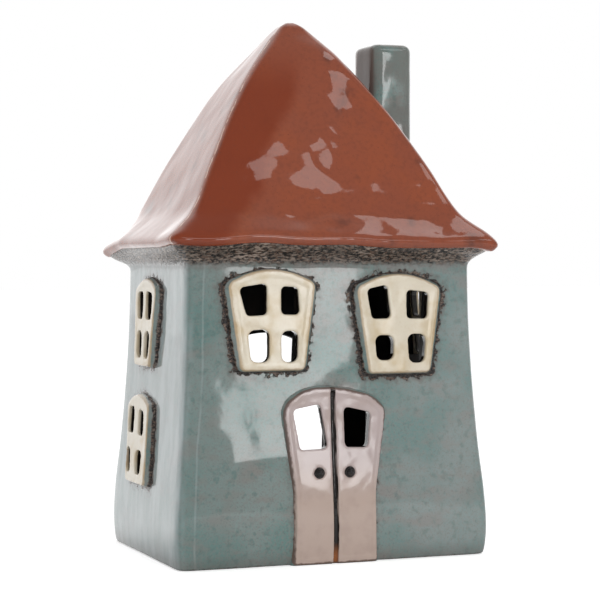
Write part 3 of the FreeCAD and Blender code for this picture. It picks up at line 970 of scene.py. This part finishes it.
# %% Distances on the tiles and the roof
PANE_RADII = ((2.0,) * 4, (2.0,) * 4, (3.0,) * 4, (3.0,) * 4)
for tile, obj in tiles.items():
    side, shares, panes, *_rest = TILES[tile]
    places = point_places(obj)
    across, up = across_and_up(side, places)
    outline = rounded(outline_points(tile, shares), corner_radii(tile))
    gaps = [
        -inside_distance(across, up, rounded(outline_points(tile, pane), pane_radii))
        for pane, pane_radii in zip(panes, PANE_RADII)
    ]
    mark(obj, "edge", inside_distance(across, up, outline))
    mark(obj, "pane", np.min(gaps, axis=0))
    mark(obj, "proud", tile_depth(side, places) / MM)

from_side, from_front = roof_gaps(point_places(roof))
roof_turn = (from_side - from_front) / MM
mark(roof, "turn", roof_turn)
mark(roof, "hip", np.abs(roof_turn))
print("Tiles marked:", len(tiles))

# %% [markdown]
# A shader is a little net of nodes, and writing each one out in full would hide the idea.
# These helpers add a node, make a noise of a given grain in millimetres, turn a slope of
# values into a soft step, and lay one colour over another. Masks are numbers from 0 to 1:
# two of them multiplied give where both are, and the larger of two gives where either is.

# %% Helpers for glazes
def add(kind, inputs=None, **settings):
    """Adds a shader node, sets it, and links or fills its inputs."""
    made = tree.nodes.new("ShaderNode" + kind)
    for key, value in settings.items():
        setattr(made, key, value)
    for key, value in (inputs or {}).items():
        if isinstance(value, bpy.types.NodeSocket):
            tree.links.new(value, made.inputs[key])
        else:
            made.inputs[key].default_value = value
    return made


def count_with(operation, *amounts):
    total = amounts[0]
    for amount in amounts[1:]:
        total = add("Math", {0: total, 1: amount}, operation=operation).outputs[0]
    return total


def times(*amounts):
    return count_with("MULTIPLY", *amounts)


def plus(*amounts):
    return count_with("ADD", *amounts)


def larger(*amounts):
    return count_with("MAXIMUM", *amounts)


def size_of(amount):
    """An amount without its sign."""
    return add("Math", {0: amount}, operation="ABSOLUTE").outputs[0]


def soft_step(value, low, high):
    """0 below low, 1 above high and smooth between. It falls where low is the larger."""
    return add(
        "MapRange", {"Value": value, "From Min": low, "From Max": high},
        interpolation_type="SMOOTHSTEP",
    ).outputs["Result"]


def between(amount, low, high):
    """A value that goes from low to high as a mask goes from 0 to 1."""
    return add("MapRange", {"Value": amount, "To Min": low, "To Max": high}).outputs["Result"]


print("Counting helpers are ready")

# %% Helpers for patterns and colours
def grain(size, detail=2.0, stretch=None, shift=0.0):
    """Cloudy noise whose spots are about a size in mm."""
    place = add("TexCoord").outputs["Object"]
    if stretch or shift:
        place = add(
            "Mapping",
            {"Vector": place, "Scale": stretch or (1, 1, 1), "Location": (shift, shift, shift)},
        ).outputs["Vector"]
    noise = add("TexNoise", {"Vector": place, "Scale": 1 / (size * MM), "Detail": detail})
    return noise.outputs[0]


def blotches(size, low, high, detail=3.0, **pattern):
    """A mask of cloudy blotches with soft edges."""
    return soft_step(grain(size, detail, **pattern), low, high)


def reading(name):
    """A distance that was stored on the mesh."""
    return add("Attribute", attribute_name=name).outputs["Fac"]


def place_along(axis):
    """The place on the house along X, Y or Z, in metres."""
    place = add("TexCoord").outputs["Object"]
    return add("SeparateXYZ", {"Vector": place}).outputs[axis]


def mm_along(axis):
    return count_with("DIVIDE", place_along(axis), MM)


def colour(red, green, blue):
    return (red, green, blue, 1)


def lay_over(amount, under, over):
    """One colour laid over another by an amount."""
    return add("Mix", {0: amount, 6: under, 7: over}, data_type="RGBA").outputs[2]


def layered(base, *layers):
    """Colours laid over a base one by one. Each layer is a mask, its share and a colour."""
    for mask, share, over in layers:
        base = lay_over(times(mask, share), base, over)
    return base


def start_glaze(name):
    """Starts a glaze. The helpers add their nodes to the net that was started last."""
    global tree
    made = bpy.data.materials.new(name)
    made.use_nodes = True
    tree = made.node_tree
    tree.nodes.clear()
    return made


def fire(base, roughness, relief, relief_mm, ior=1.5, metallic=0.0):
    """Ends a glaze: the melted colour, its gloss and its fine relief."""
    bump = add("Bump", {"Height": relief, "Distance": relief_mm * MM, "Strength": 1.0})
    shader = add(
        "BsdfPrincipled",
        {"Base Color": base, "Roughness": roughness, "IOR": ior, "Metallic": metallic,
         "Normal": bump.outputs["Normal"]},
    )
    output = add("OutputMaterial")
    tree.links.new(shader.outputs["BSDF"], output.inputs["Surface"])


print("Glaze helpers are ready")

# %% [markdown]
# The wall glaze is a grey-green that breaks to mauve-brown where it ran thin. Large clouds
# shift it from green to grey, small ones speckle it, and the oxide gathers as a rough
# brown crust under the eaves, round the windows and along the foot. The crust is duller
# than the glaze and granular, so it also raises the relief.

# %% Wall colours
TEAL = colour(0.128, 0.222, 0.208)
DEEP_TEAL = colour(0.090, 0.158, 0.148)
GREY_GREEN = colour(0.210, 0.262, 0.250)
MAUVE = colour(0.235, 0.190, 0.175)
DARK_MAUVE = colour(0.120, 0.092, 0.082)
CRUST_DARK = colour(0.010, 0.007, 0.006)
CRUST_BROWN = colour(0.105, 0.066, 0.048)
CRUST_PALE = colour(0.32, 0.255, 0.21)
STIPPLE = colour(0.222, 0.208, 0.196)
PALE_BLUE_GREY = colour(0.44, 0.485, 0.50)


def crust(pale_share=0.4):
    """The granular brown oxide: dark pits, brown grains and pale flecks."""
    grains = grain(1.2, 4.0, stretch=(0.7, 0.7, 1.2))
    flecks = blotches(1.2, 0.52, 0.62, 4.0, stretch=(0.6, 0.6, 1.2), shift=0.37)
    toned = layered(
        CRUST_DARK, (soft_step(grains, 0.48, 0.60), 1, CRUST_BROWN),
        (flecks, pale_share, CRUST_PALE),
    )
    return toned, grains


def teal_clouds():
    """The wall colour: large clouds, streaks a few mm wide and a fine stipple."""
    return layered(
        TEAL,
        (blotches(34, 0.40, 0.62), 1, GREY_GREEN),
        (blotches(9, 0.50, 0.68, 4.0, stretch=(0.6, 0.6, 1.3), shift=0.2), 0.5, MAUVE),
        (blotches(24, 0.54, 0.72, 4.0, shift=0.51), 0.5, MAUVE),
        (blotches(3.4, 0.52, 0.70, shift=0.83), 0.6, DEEP_TEAL),
        (blotches(1.1, 0.36, 0.74), 0.55, STIPPLE),
        (blotches(0.8, 0.50, 0.76, shift=0.66), 0.36, DARK_MAUVE),
    )


print("Wall colours are ready")

# %% Where the oxide lies
wall_glaze = start_glaze("wall_glaze")
rough_edge = times(grain(2.4, 4.0), 5.0)
blobs = times(grain(3.0, 4.0, shift=0.25), 9.0)
window_reach = plus(reading("rim"), blobs)
cove_reach = plus(mm_along("Z"), rough_edge)
foot_reach = plus(mm_along("Z"), times(rough_edge, 0.6))
cove_band = soft_step(cove_reach, 131.6, 134.4)
band = larger(
    soft_step(window_reach, 6.4, 5.6), cove_band,
    times(soft_step(foot_reach, 2.5, 1.6), 0.75),
)
stain = larger(
    times(soft_step(window_reach, 9.2, 5.6), 0.5),
    times(soft_step(cove_reach, 128.0, 133.0), 0.55),
    times(soft_step(foot_reach, 10.0, 2.0), 0.4),
)
print("Nodes for the oxide:", len(tree.nodes))

# %% [markdown]
# A painted reflection lies pale over the side walls in soft upright streaks and on the corners,
# and one thin run near the front left corner is a painted highlight. The wall is also painted
# faintly paler towards the right. The "turn" distance is negative on the side walls and grows
# from the corner inwards.

# %% The painted reflection on the walls
turn = reading("turn")
across = place_along("X")
streaks = blotches(6, 0.34, 0.70, stretch=(1, 1, 0.3))
# Painted reflection: pale upright streaks over the side walls and a pale band on the corners.
sheen_strength = plus(times(streaks, 0.3), 0.38)
side_reflection = times(sheen_strength, soft_step(turn, 1, -2))
corner_reflection = times(streaks, soft_step(size_of(turn), 4.5, 1.0), 0.22)
# Painted highlight: one thin pale run near the front left corner.
sway = times(grain(30, 2.0), 3.0)
off_run = size_of(plus(turn, sway, -9.0))
corner_highlight_run = times(
    soft_step(off_run, 0.7, 0.2), blotches(20, 0.25, 0.6, shift=0.9), 0.2,
    soft_step(across, 0.0, -0.03),
)
# Paler towards the right.
paler_right = times(soft_step(across, -0.02, 0.06), 0.12)
reflection_and_paler_right = larger(side_reflection, corner_reflection, corner_highlight_run, paler_right)
print("Nodes with the veil:", len(tree.nodes))

# %% The whole wall glaze
crust_colour, crust_grains = crust(0.35)
scratches = blotches(1.2, 0.49, 0.62, 4.0, stretch=(0.5, 0.5, 1.7), shift=0.71)
worn = plus(times(blotches(22, 0.34, 0.62, 2.0, shift=0.44), 0.6), 0.3)
crust_colour = lay_over(times(scratches, cove_band, worn), crust_colour, CRUST_PALE)
seam = plus(reading("rim"), times(grain(5, 3.0), 1.2))
wall_colour = layered(
    teal_clouds(),
    (soft_step(across, -0.02, -0.06), 0.3, DEEP_TEAL),
    # Painted reflection and a painted highlight run, and paler towards the right.
    (reflection_and_paler_right, 1, PALE_BLUE_GREY), (stain, 1, DARK_MAUVE), (band, 1, crust_colour),
    (soft_step(seam, 1.6, 1.0), 0.8, CRUST_DARK),
)
relief = plus(times(grain(5.0, 1.0), 0.035), times(crust_grains, band, 2.0))
fire(wall_colour, between(band, 0.05, 0.24), relief, 0.35)
print("Nodes of the wall glaze:", len(tree.nodes))

# %% [markdown]
# Inside, the house was washed with a black glaze, and the foot that stood on the kiln
# shelf was wiped bare. Both need a little variety: the black has a dull sheen and faint
# brown runs, and the clay is matt and gritty.

# %% Black inside, bare clay under the foot
inner_black = start_glaze("inner_black")
base = lay_over(
    blotches(14, 0.5, 0.75, stretch=(1, 1, 0.35)),
    colour(0.006, 0.005, 0.0045), colour(0.022, 0.014, 0.010),
)
fire(base, 0.5, grain(3.0, 2.0), 0.08, ior=1.3)

bare_clay = start_glaze("bare_clay")
base = lay_over(blotches(1.2, 0.4, 0.65), colour(0.42, 0.30, 0.21), colour(0.30, 0.19, 0.12))
fire(base, 0.85, grain(0.6, 3.0), 0.1)

FOOT_FACE = 0.12 * MM
CREASE = math.radians(38)


def coat(obj, outer, depth_of, skin_mm=0.9):
    """Outer glaze on the skin, black on all that lies deeper, bare clay under the foot."""
    obj.data.materials.clear()
    for material in (outer, inner_black, bare_clay):
        obj.data.materials.append(material)
    centres = np.array([face.center for face in obj.data.polygons])
    deep = depth_of(centres) > skin_mm * MM
    foot = centres[:, 2] < FOOT_FACE
    obj.data.polygons.foreach_set("material_index", np.where(foot, 2, deep.astype(int)))
    only(obj)
    bpy.ops.object.shade_smooth_by_angle(angle=CREASE)


def skin_depth(gaps, edge_reach, edge_room, region, region_room):
    """Depth under a face, with rounded edges and one more region counted as outside."""
    depth = np.minimum(*gaps)
    on_edge = (np.maximum(*gaps) < edge_reach) & (depth < edge_room)
    return np.where(on_edge | (region & (depth < region_room)), 0, depth)


def wall_skin_depth(places):
    """Depth under the wall's face. Rounded corners and the flare count as outside."""
    by_eave = places[:, 2] > WALL_HEIGHT - COVE_DROP - 4 * MM
    return skin_depth(
        wall_gaps(places), edge_reach=7 * MM, edge_room=3 * MM, region=by_eave, region_room=3 * MM
    )


coat(walls, wall_glaze, wall_skin_depth)
print("Wall faces by finish:", np.bincount([f.material_index for f in walls.data.polygons]))

# %% [markdown]
# The roof is dipped in a terracotta glaze with rusty clouds and tiny iron specks. It is a deep
# red-brown beside the front left hip, and a broken pale line along that hip is a painted
# highlight. Its gloss is as high as that of the walls, so the studio lamps leave bright shapes
# on it.

# %% Roof glaze
TERRACOTTA = colour(0.246, 0.061, 0.029)
BURNT_ORANGE = colour(0.268, 0.064, 0.026)
DARK_RUST = colour(0.120, 0.034, 0.020)
DEEP_RUST = colour(0.186, 0.027, 0.005)
PALE_HIGHLIGHT = colour(0.62, 0.42, 0.33)
roof_glaze = start_glaze("roof_glaze")
turn = reading("turn")
front_left = times(
    soft_step(place_along("X"), 0.0, -0.012),
    soft_step(place_along("Y"), 0.0, -0.006),
)
inward = plus(turn, times(grain(14, 3.0), 14))
# Deeper red-brown beside the front left hip.
deep_red_by_hip = times(
    soft_step(inward, 37, 27), soft_step(turn, -1, 2),
    soft_step(place_along("Z"), 0.232, 0.205), front_left,
)
hip_line = soft_step(plus(reading("hip"), times(grain(5, 3.0), 3.0)), 2.3, 1.4)
# Painted highlight: a broken pale line along the front left hip.
off_hip = size_of(plus(turn, times(grain(9, 3.0, shift=0.6), 3.0), 0.6))
hip_highlight = times(
    soft_step(off_hip, 0.75, 0.25), blotches(5, 0.42, 0.56, shift=0.21), front_left
)
roof_colour = layered(
    TERRACOTTA,
    (blotches(26, 0.46, 0.68), 1, BURNT_ORANGE),
    (blotches(15, 0.56, 0.76, 4.0, shift=0.3), 1, DARK_RUST),
    (blotches(1.8, 0.44, 0.7, 4.0, shift=0.11), 0.22, DARK_RUST),
    (deep_red_by_hip, 0.85, DEEP_RUST),
    (blotches(0.8, 0.68, 0.74, 2.0, shift=0.7), 0.7, DARK_RUST),
    # The pale line along the front left hip is a painted highlight.
    (hip_line, 0.45, DARK_RUST), (hip_highlight, 0.75, PALE_HIGHLIGHT),
)
relief = plus(grain(5.0, 2.0), times(grain(1.8, 2.0), 0.35))
fire(roof_colour, 0.05, relief, 0.022)


def roof_skin_depth(places):
    """Depth under the roof's face. The rounded hips and the lip count as outside."""
    by_lip = places[:, 2] < WALL_HEIGHT + 5 * MM
    return skin_depth(
        roof_gaps(places), edge_reach=8 * MM, edge_room=5.3 * MM, region=by_lip, region_room=7 * MM
    )


coat(roof, roof_glaze, roof_skin_depth, skin_mm=3.4)
print("Roof faces by finish:", np.bincount([f.material_index for f in roof.data.polygons]))

# %% [markdown]
# The chimney has the wall glaze without the crusts, smoky in places and worn at its rim.
# Its left face is dark mauve with a painted highlight towards the back, and its flue is black.

# %% Chimney glaze
SMOKY = colour(0.140, 0.134, 0.122)
BACK_HIGHLIGHT = colour(0.55, 0.52, 0.51)
chimney_glaze = start_glaze("chimney_glaze")
worn_rim = soft_step(plus(mm_along("Z"), times(grain(4, 3.0), 3.0)), 231.2, 232.6)
left_face = soft_step(place_along("X"), CHIMNEY_X - 8.6 * MM, CHIMNEY_X - 9.6 * MM)
ragged = times(grain(7, 3.0, stretch=(1, 1, 0.4)), 0.008)
# A painted highlight on the back part of the left face.
highlighted_back = soft_step(plus(place_along("Y"), ragged), 0.0145, 0.0165)
chimney_colour = layered(
    teal_clouds(),
    (blotches(14, 0.3, 0.55, shift=0.4), 0.65, SMOKY), (worn_rim, 0.5, MAUVE),
    (left_face, 0.9, DARK_MAUVE), (times(left_face, highlighted_back), 0.75, BACK_HIGHLIGHT),
)
dull_left = between(left_face, 1.5, 1.2)
fire(chimney_colour, 0.06, grain(4.5, 1.0), 0.05, ior=dull_left)


def chimney_depth(places):
    out_x = np.abs(places[:, 0] - CHIMNEY_X) - CHIMNEY_WIDTH / 2
    out_y = np.abs(places[:, 1] - CHIMNEY_Y) - CHIMNEY_DEPTH / 2
    top = places[:, 2] - CHIMNEY_TOP
    return -np.maximum(np.maximum(out_x, out_y), top)


coat(chimney, chimney_glaze, chimney_depth, skin_mm=2.8)
print("Chimney faces:", len(chimney.data.polygons))

# %% [markdown]
# The window tiles are cream with a faint ochre line where the glaze breaks over an edge.
# The flank that leads down to the wall was painted with the wall glaze, and its foot sits
# in the brown oxide. A pane is cream over its rounded lip and black further in.

# %% Window glaze
CREAM = colour(0.650, 0.585, 0.470)
WARM_CREAM = colour(0.560, 0.460, 0.310)
OCHRE = colour(0.300, 0.170, 0.070)
BLACK_BROWN = colour(0.012, 0.009, 0.007)
# How far out from the wall the black of a pane begins, in mm.
JAMB_DEPTH = {"window_glaze": 1.9, "door_glaze": 1.0}


def tile_glaze(name, face_colour, line_colour, line_share, foot_high, roughness, rim_swell):
    """A tile's glaze, from the distances stored on its mesh. The rim swells a little."""
    made = start_glaze(name)
    edge, pane, proud = (reading(gap) for gap in ("edge", "pane", "proud"))
    wobble = times(plus(grain(3.0, 3.0), -0.5), 1.6)
    line = soft_step(plus(edge, wobble), 0.75, 0.1)
    flank = soft_step(plus(edge, times(wobble, 0.25)), -0.35, -0.75)
    crust_tone, grains = crust()
    low = soft_step(plus(proud, wobble), foot_high, foot_high - 0.6)
    low = times(low, flank)
    deep = soft_step(proud, JAMB_DEPTH[name] + 0.25, JAMB_DEPTH[name] - 0.25)
    jamb = times(soft_step(pane, 0.35, 0.05), deep)
    base = layered(
        face_colour(), (line, line_share, line_colour),
        (flank, 1, teal_clouds()), (low, 1, crust_tone), (jamb, 1, BLACK_BROWN),
    )
    shoulder = times(soft_step(edge, 3.4, 1.6), rim_swell)
    fine = times(grain(5.0, 1.0), 0.08)
    relief = plus(fine, times(grains, low), shoulder)
    fire(base, between(low, roughness, 0.45), relief, 0.3)
    return made


def cream_face():
    return layered(
        CREAM, (blotches(11, 0.42, 0.68), 1, WARM_CREAM),
        (blotches(1.2, 0.5, 0.75, 2.0), 0.25, WARM_CREAM),
    )


window_glaze = tile_glaze("window_glaze", cream_face, OCHRE, 0.45, 1.5, 0.14, 0.3)
print("Nodes of the window glaze:", len(window_glaze.node_tree.nodes))

# %% [markdown]
# The door is a pinkish beige, greyer at the top and warmer at its foot. A thin brown line
# runs round it, and the scored line down the middle is stained nearly black, with a touch
# of rust where the stain ran to the floor.

# %% Door glaze
ROSE = colour(0.450, 0.372, 0.360)
PEACH = colour(0.470, 0.365, 0.315)
TAN = colour(0.36, 0.27, 0.23)
LINE_BROWN = colour(0.075, 0.042, 0.030)
STAIN_BLACK = colour(0.009, 0.006, 0.005)
RUST = colour(0.260, 0.085, 0.022)


def door_face():
    up = mm_along("Z")
    sway = times(plus(grain(12, 2.0), -0.5), 1.6)
    off_groove = size_of(plus(mm_along("X"), 1.5, sway))
    groove_colour = lay_over(soft_step(up, 10, 3), STAIN_BLACK, RUST)
    return layered(
        PEACH, (soft_step(up, 26, 48), 1, ROSE),
        (blotches(9, 0.45, 0.7), 0.4, TAN),
        (soft_step(off_groove, 1.25, 0.85), 1, groove_colour),
    )


door_glaze = tile_glaze("door_glaze", door_face, LINE_BROWN, 0.8, 0.4, 0.08, 0.9)

knob_glaze = start_glaze("knob_glaze")
base = lay_over(
    blotches(1.5, 0.5, 0.7, 2.0),
    colour(0.005, 0.004, 0.004), colour(0.020, 0.014, 0.012),
)
fire(base, 0.05, grain(1.5, 2.0), 0.02)

for tile, obj in tiles.items():
    obj.data.materials.append(door_glaze if tile == "double_door" else window_glaze)
    only(obj)
    bpy.ops.object.shade_smooth()
for obj in knobs.values():
    obj.data.materials.append(knob_glaze)
print("Glazes so far:", len(bpy.data.materials))

# %% [markdown]
# The tealight is a pressed foil cup full of wax. A circle is extruded ring by ring along
# the cup's section, the way the roof was, and every second point of its side is drawn in,
# which gives the flutes of the foil. The wax creeps up a little at the foil and the wick.

# %% Turned shapes for the tealight
CUP_SECTION = [
    (2, 6.2), (17.4, 6.05), (18.3, 6.4), (18.7, 7.4), (18.85, 10), (19.0, 20.8),
    (19.3, 21.2), (19.4, 21.6), (19.25, 21.95), (18.95, 22.0), (18.7, 21.8), (18.6, 21.2),
    (18.5, 20.4), (18.4, 10), (18.2, 7.6), (17.6, 6.6), (2, 6.45),
]
WAX_SECTION = [
    (2, 6.6), (17.4, 6.7), (18.0, 8), (18.1, 19.9), (17.95, 20.1), (17.5, 19.8), (16, 19.6),
    (9, 19.5), (3.5, 19.35), (1.6, 19.5), (0.9, 19.9), (0.5, 20.0),
]
CUP_STEPS = 128
WAX_STEPS = 96
FLUTE_FOOT = 7.2 * MM
FLUTE_TOP = 20.9 * MM
FLUTE_MIDDLE = (0, 0, 14 * MM)
FLUTE_SHARE = 0.982
WICK_VOXEL = 0.16 * MM


def turned(name, section, steps):
    """A closed round shape through (radius, height) pairs in mm, from axis to axis."""
    (radius, z), *rest = section
    bpy.ops.object.select_all(action="DESELECT")
    bpy.ops.mesh.primitive_circle_add(
        vertices=steps, radius=radius * MM, location=(0, 0, z * MM), fill_type="NOTHING"
    )
    obj = bpy.context.active_object
    obj.name = obj.data.name = name
    bpy.ops.object.transform_apply()
    bpy.ops.object.mode_set(mode="EDIT")
    bpy.ops.mesh.select_mode(type="EDGE")
    bpy.ops.mesh.select_all(action="SELECT")
    bpy.ops.mesh.edge_face_add()
    bpy.ops.mesh.select_all(action="SELECT")
    for next_radius, next_z in rest:
        bpy.ops.mesh.extrude_region_move(
            TRANSFORM_OT_translate={"value": (0, 0, (next_z - z) * MM)}
        )
        bpy.ops.transform.resize(
            value=(next_radius / radius, next_radius / radius, 1),
            center_override=(0, 0, next_z * MM),
        )
        radius, z = next_radius, next_z
    bpy.ops.mesh.select_all(action="SELECT")
    bpy.ops.mesh.normals_make_consistent(inside=False)
    leave_edit()
    return obj


cup = turned("foil_cup", CUP_SECTION, CUP_STEPS)
edit(cup)
step_angle = 2 * math.pi / CUP_STEPS
pick(cup, "VERT", lambda v: FLUTE_FOOT < v.co.z < FLUTE_TOP
     and round(math.atan2(v.co.y, v.co.x) / step_angle) % 2 == 0)
bpy.ops.transform.resize(value=(FLUTE_SHARE, FLUTE_SHARE, 1), center_override=FLUTE_MIDDLE)
leave_edit()
apply_modifier(cup, "SUBSURF", levels=1, render_levels=1)
wax = turned("cup_wax", WAX_SECTION, WAX_STEPS)
apply_modifier(wax, "SUBSURF", levels=1, render_levels=1)
waves(wax, 7 * MM, 0.1 * MM)
wick = copy_solid("wick", "waxed_wick")
soften(wick, WICK_VOXEL, 2)
waves(wick, 0.7 * MM, 0.3 * MM)
print("Faces of the foil cup:", len(cup.data.polygons))

# %% [markdown]
# The foil is bright metal with fine upright creases, and the wax is nearly white and a
# little cloudy. The wick is a diagonal braid, scorched at its tip. Its tin tab and the
# floor slab stay the measured solids, since little of them shows, and only get a finish.

# %% Foil, wax, cotton and tin
foil = start_glaze("pressed_foil")
creases = grain(1.6, 3.0, stretch=(1, 1, 0.4))
base = lay_over(
    soft_step(creases, 0.4, 0.7), colour(0.78, 0.78, 0.80), colour(0.66, 0.66, 0.69)
)
fire(base, between(creases, 0.2, 0.38), creases, 0.12, metallic=1.0)

wax_white = start_glaze("candle_wax")
clouds = grain(5, 3.0)
base = lay_over(soft_step(clouds, 0.4, 0.7), colour(0.80, 0.78, 0.72), colour(0.72, 0.69, 0.61))
fire(base, 0.38, clouds, 0.1, ior=1.44)

cotton = start_glaze("waxed_cotton")
braid = add(
    "TexWave",
    {"Vector": add("TexCoord").outputs["Object"], "Scale": 420.0, "Distortion": 3.0,
     "Detail": 2.0},
    bands_direction="DIAGONAL",
).outputs["Fac"]
scorch = soft_step(plus(mm_along("Z"), times(grain(1, 2.0), 2.0)), 26.0, 27.4)
base = layered(
    colour(0.55, 0.50, 0.42),
    (soft_step(braid, 0.2, 0.6), 1, colour(0.78, 0.74, 0.66)),
    (scorch, 1, colour(0.06, 0.05, 0.04)),
)
fire(base, 0.6, braid, 0.08)

tin = start_glaze("stamped_tin")
brushed = grain(0.8, 3.0, stretch=(0.2, 1, 1))
base = lay_over(brushed, colour(0.50, 0.50, 0.50), colour(0.66, 0.66, 0.65))
fire(base, 0.35, brushed, 0.03, metallic=1.0)

FOIL_CREASE = math.radians(40)
for obj, material in ((cup, foil), (wax, wax_white), (wick, cotton)):
    obj.data.materials.append(material)
    only(obj)
    bpy.ops.object.shade_smooth_by_angle(angle=FOIL_CREASE)
for node, material in (("wick_tab", tin), ("floor", inner_black)):
    frame["nodes"][node].data.materials.clear()
    frame["nodes"][node].data.materials.append(material)
print("Tealight dressed")

# %% [markdown]
# The house stands on a white sweep. The world is white for the camera, and for reflections
# it is white behind the house and dim in front, as a studio is. The sweep glows a little
# for the camera, so that the background is an even white and still takes the shadow.

# %% Floor and world
bpy.ops.object.select_all(action="DESELECT")
bpy.ops.mesh.primitive_plane_add(size=14, location=(0, 0, 0))
sweep = bpy.context.active_object
sweep.name = "floor_sweep"
paper = start_glaze("white_paper")
diffuse = add("BsdfDiffuse", {"Color": colour(0.9, 0.9, 0.9)})
path = add("LightPath")
behind = soft_step(place_along("Y"), -0.06, 0.12)
mirrored = times(between(behind, 0.0, 0.9), path.outputs["Is Glossy Ray"])
seen_white = times(path.outputs["Is Camera Ray"], 0.52)
glow = add("Emission", {"Color": colour(1, 1, 1), "Strength": plus(mirrored, seen_white)})
seen = add("AddShader", {0: diffuse.outputs[0], 1: glow.outputs[0]})
tree.links.new(seen.outputs[0], add("OutputMaterial").inputs["Surface"])
sweep.data.materials.append(paper)

world = bpy.data.worlds.new("studio")
bpy.context.scene.world = world
world.use_nodes = True
tree = world.node_tree
tree.nodes.clear()
path = add("LightPath")
direction = add("SeparateXYZ", {"Vector": add("TexCoord").outputs["Generated"]})
back = soft_step(direction.outputs["Y"], -0.15, 0.5)
far_wall = between(path.outputs["Is Glossy Ray"], 1.0, 1.75)
room = between(back, 0.38, far_wall)
strength = between(path.outputs["Is Camera Ray"], room, 1.0)
background = add("Background", {"Color": colour(1, 1, 1), "Strength": strength})
tree.links.new(background.outputs[0], add("OutputWorld").inputs["Surface"])
print("World ready")

# %% [markdown]
# Five small soft boxes give the glaze something to mirror: one tall box for the upright
# patch on the front wall, one for the chimney, three for the roof. Each stands where the
# sight line, mirrored at its patch, would meet it. A large fill lights the front without
# showing in the glaze.

# %% Soft boxes
HOUSE_MIDDLE = Vector((0, 0, 0.12))
# Each box: its place, width, height and brightness.
MIRRORED_BOXES = {
    "strip_box": ((0.463, -1.304, 0.292), 0.148, 0.34, 5.8),
    "chimney_box": ((0.54, -1.31, 0.33), 0.09, 0.13, 1.2),
    "roof_box": ((0.395, -0.996, 0.775), 0.34, 0.21, 2.4),
    "side_box": ((0.95, -0.786, 1.158), 0.465, 0.184, 2.4),
    "top_box": ((0.57, -0.156, 1.113), 0.26, 0.18, 2.2),
}


def soft_box(name, place, width, height, brightness):
    """A rectangle of light that faces the house, as bright as a white of that strength."""
    bpy.ops.object.select_all(action="DESELECT")
    bpy.ops.object.light_add(type="AREA", location=place)
    box = bpy.context.active_object
    box.name = name
    box.rotation_euler = (HOUSE_MIDDLE - Vector(place)).to_track_quat("-Z", "Y").to_euler()
    box.data.shape = "RECTANGLE"
    box.data.size, box.data.size_y = width, height
    box.data.energy = brightness * math.pi * width * height
    box.visible_camera = False
    return box


for name, box in MIRRORED_BOXES.items():
    soft_box(name, *box)
fill = soft_box("front_fill", (-0.3, -2.0, 1.0), 2.0, 2.0, 1.85)
fill.visible_glossy = False

# %% [markdown]
# Last, every new piece is tied to the body that it moves with, and takes the place of the
# solids it was modelled after. The clay rides on the house, the candle on the tealight.

# %% Tie the pieces to the solids
for obj, slot, nodes in (
    (walls, "wall_glaze", ["wall_front", "wall_right", "wall_back", "wall_left",
                           "cove_front", "cove_right", "cove_back", "cove_left"]),
    (roof, "roof_glaze", ["roof_front", "roof_right", "roof_back", "roof_left"]),
    (chimney, "wall_glaze", ["chimney"]),
):
    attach(obj, "house")
    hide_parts(*nodes)
for tile, obj in tiles.items():
    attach(obj, "house")
    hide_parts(tile)
for node, obj in knobs.items():
    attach(obj, "house")
    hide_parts(node)
for obj, node, slot in ((cup, "tealight_cup", "tealight_foil"),
                        (wax, "tealight_wax", "tealight_wax"), (wick, "wick", "wick")):
    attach(obj, "tealight")
    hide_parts(node)
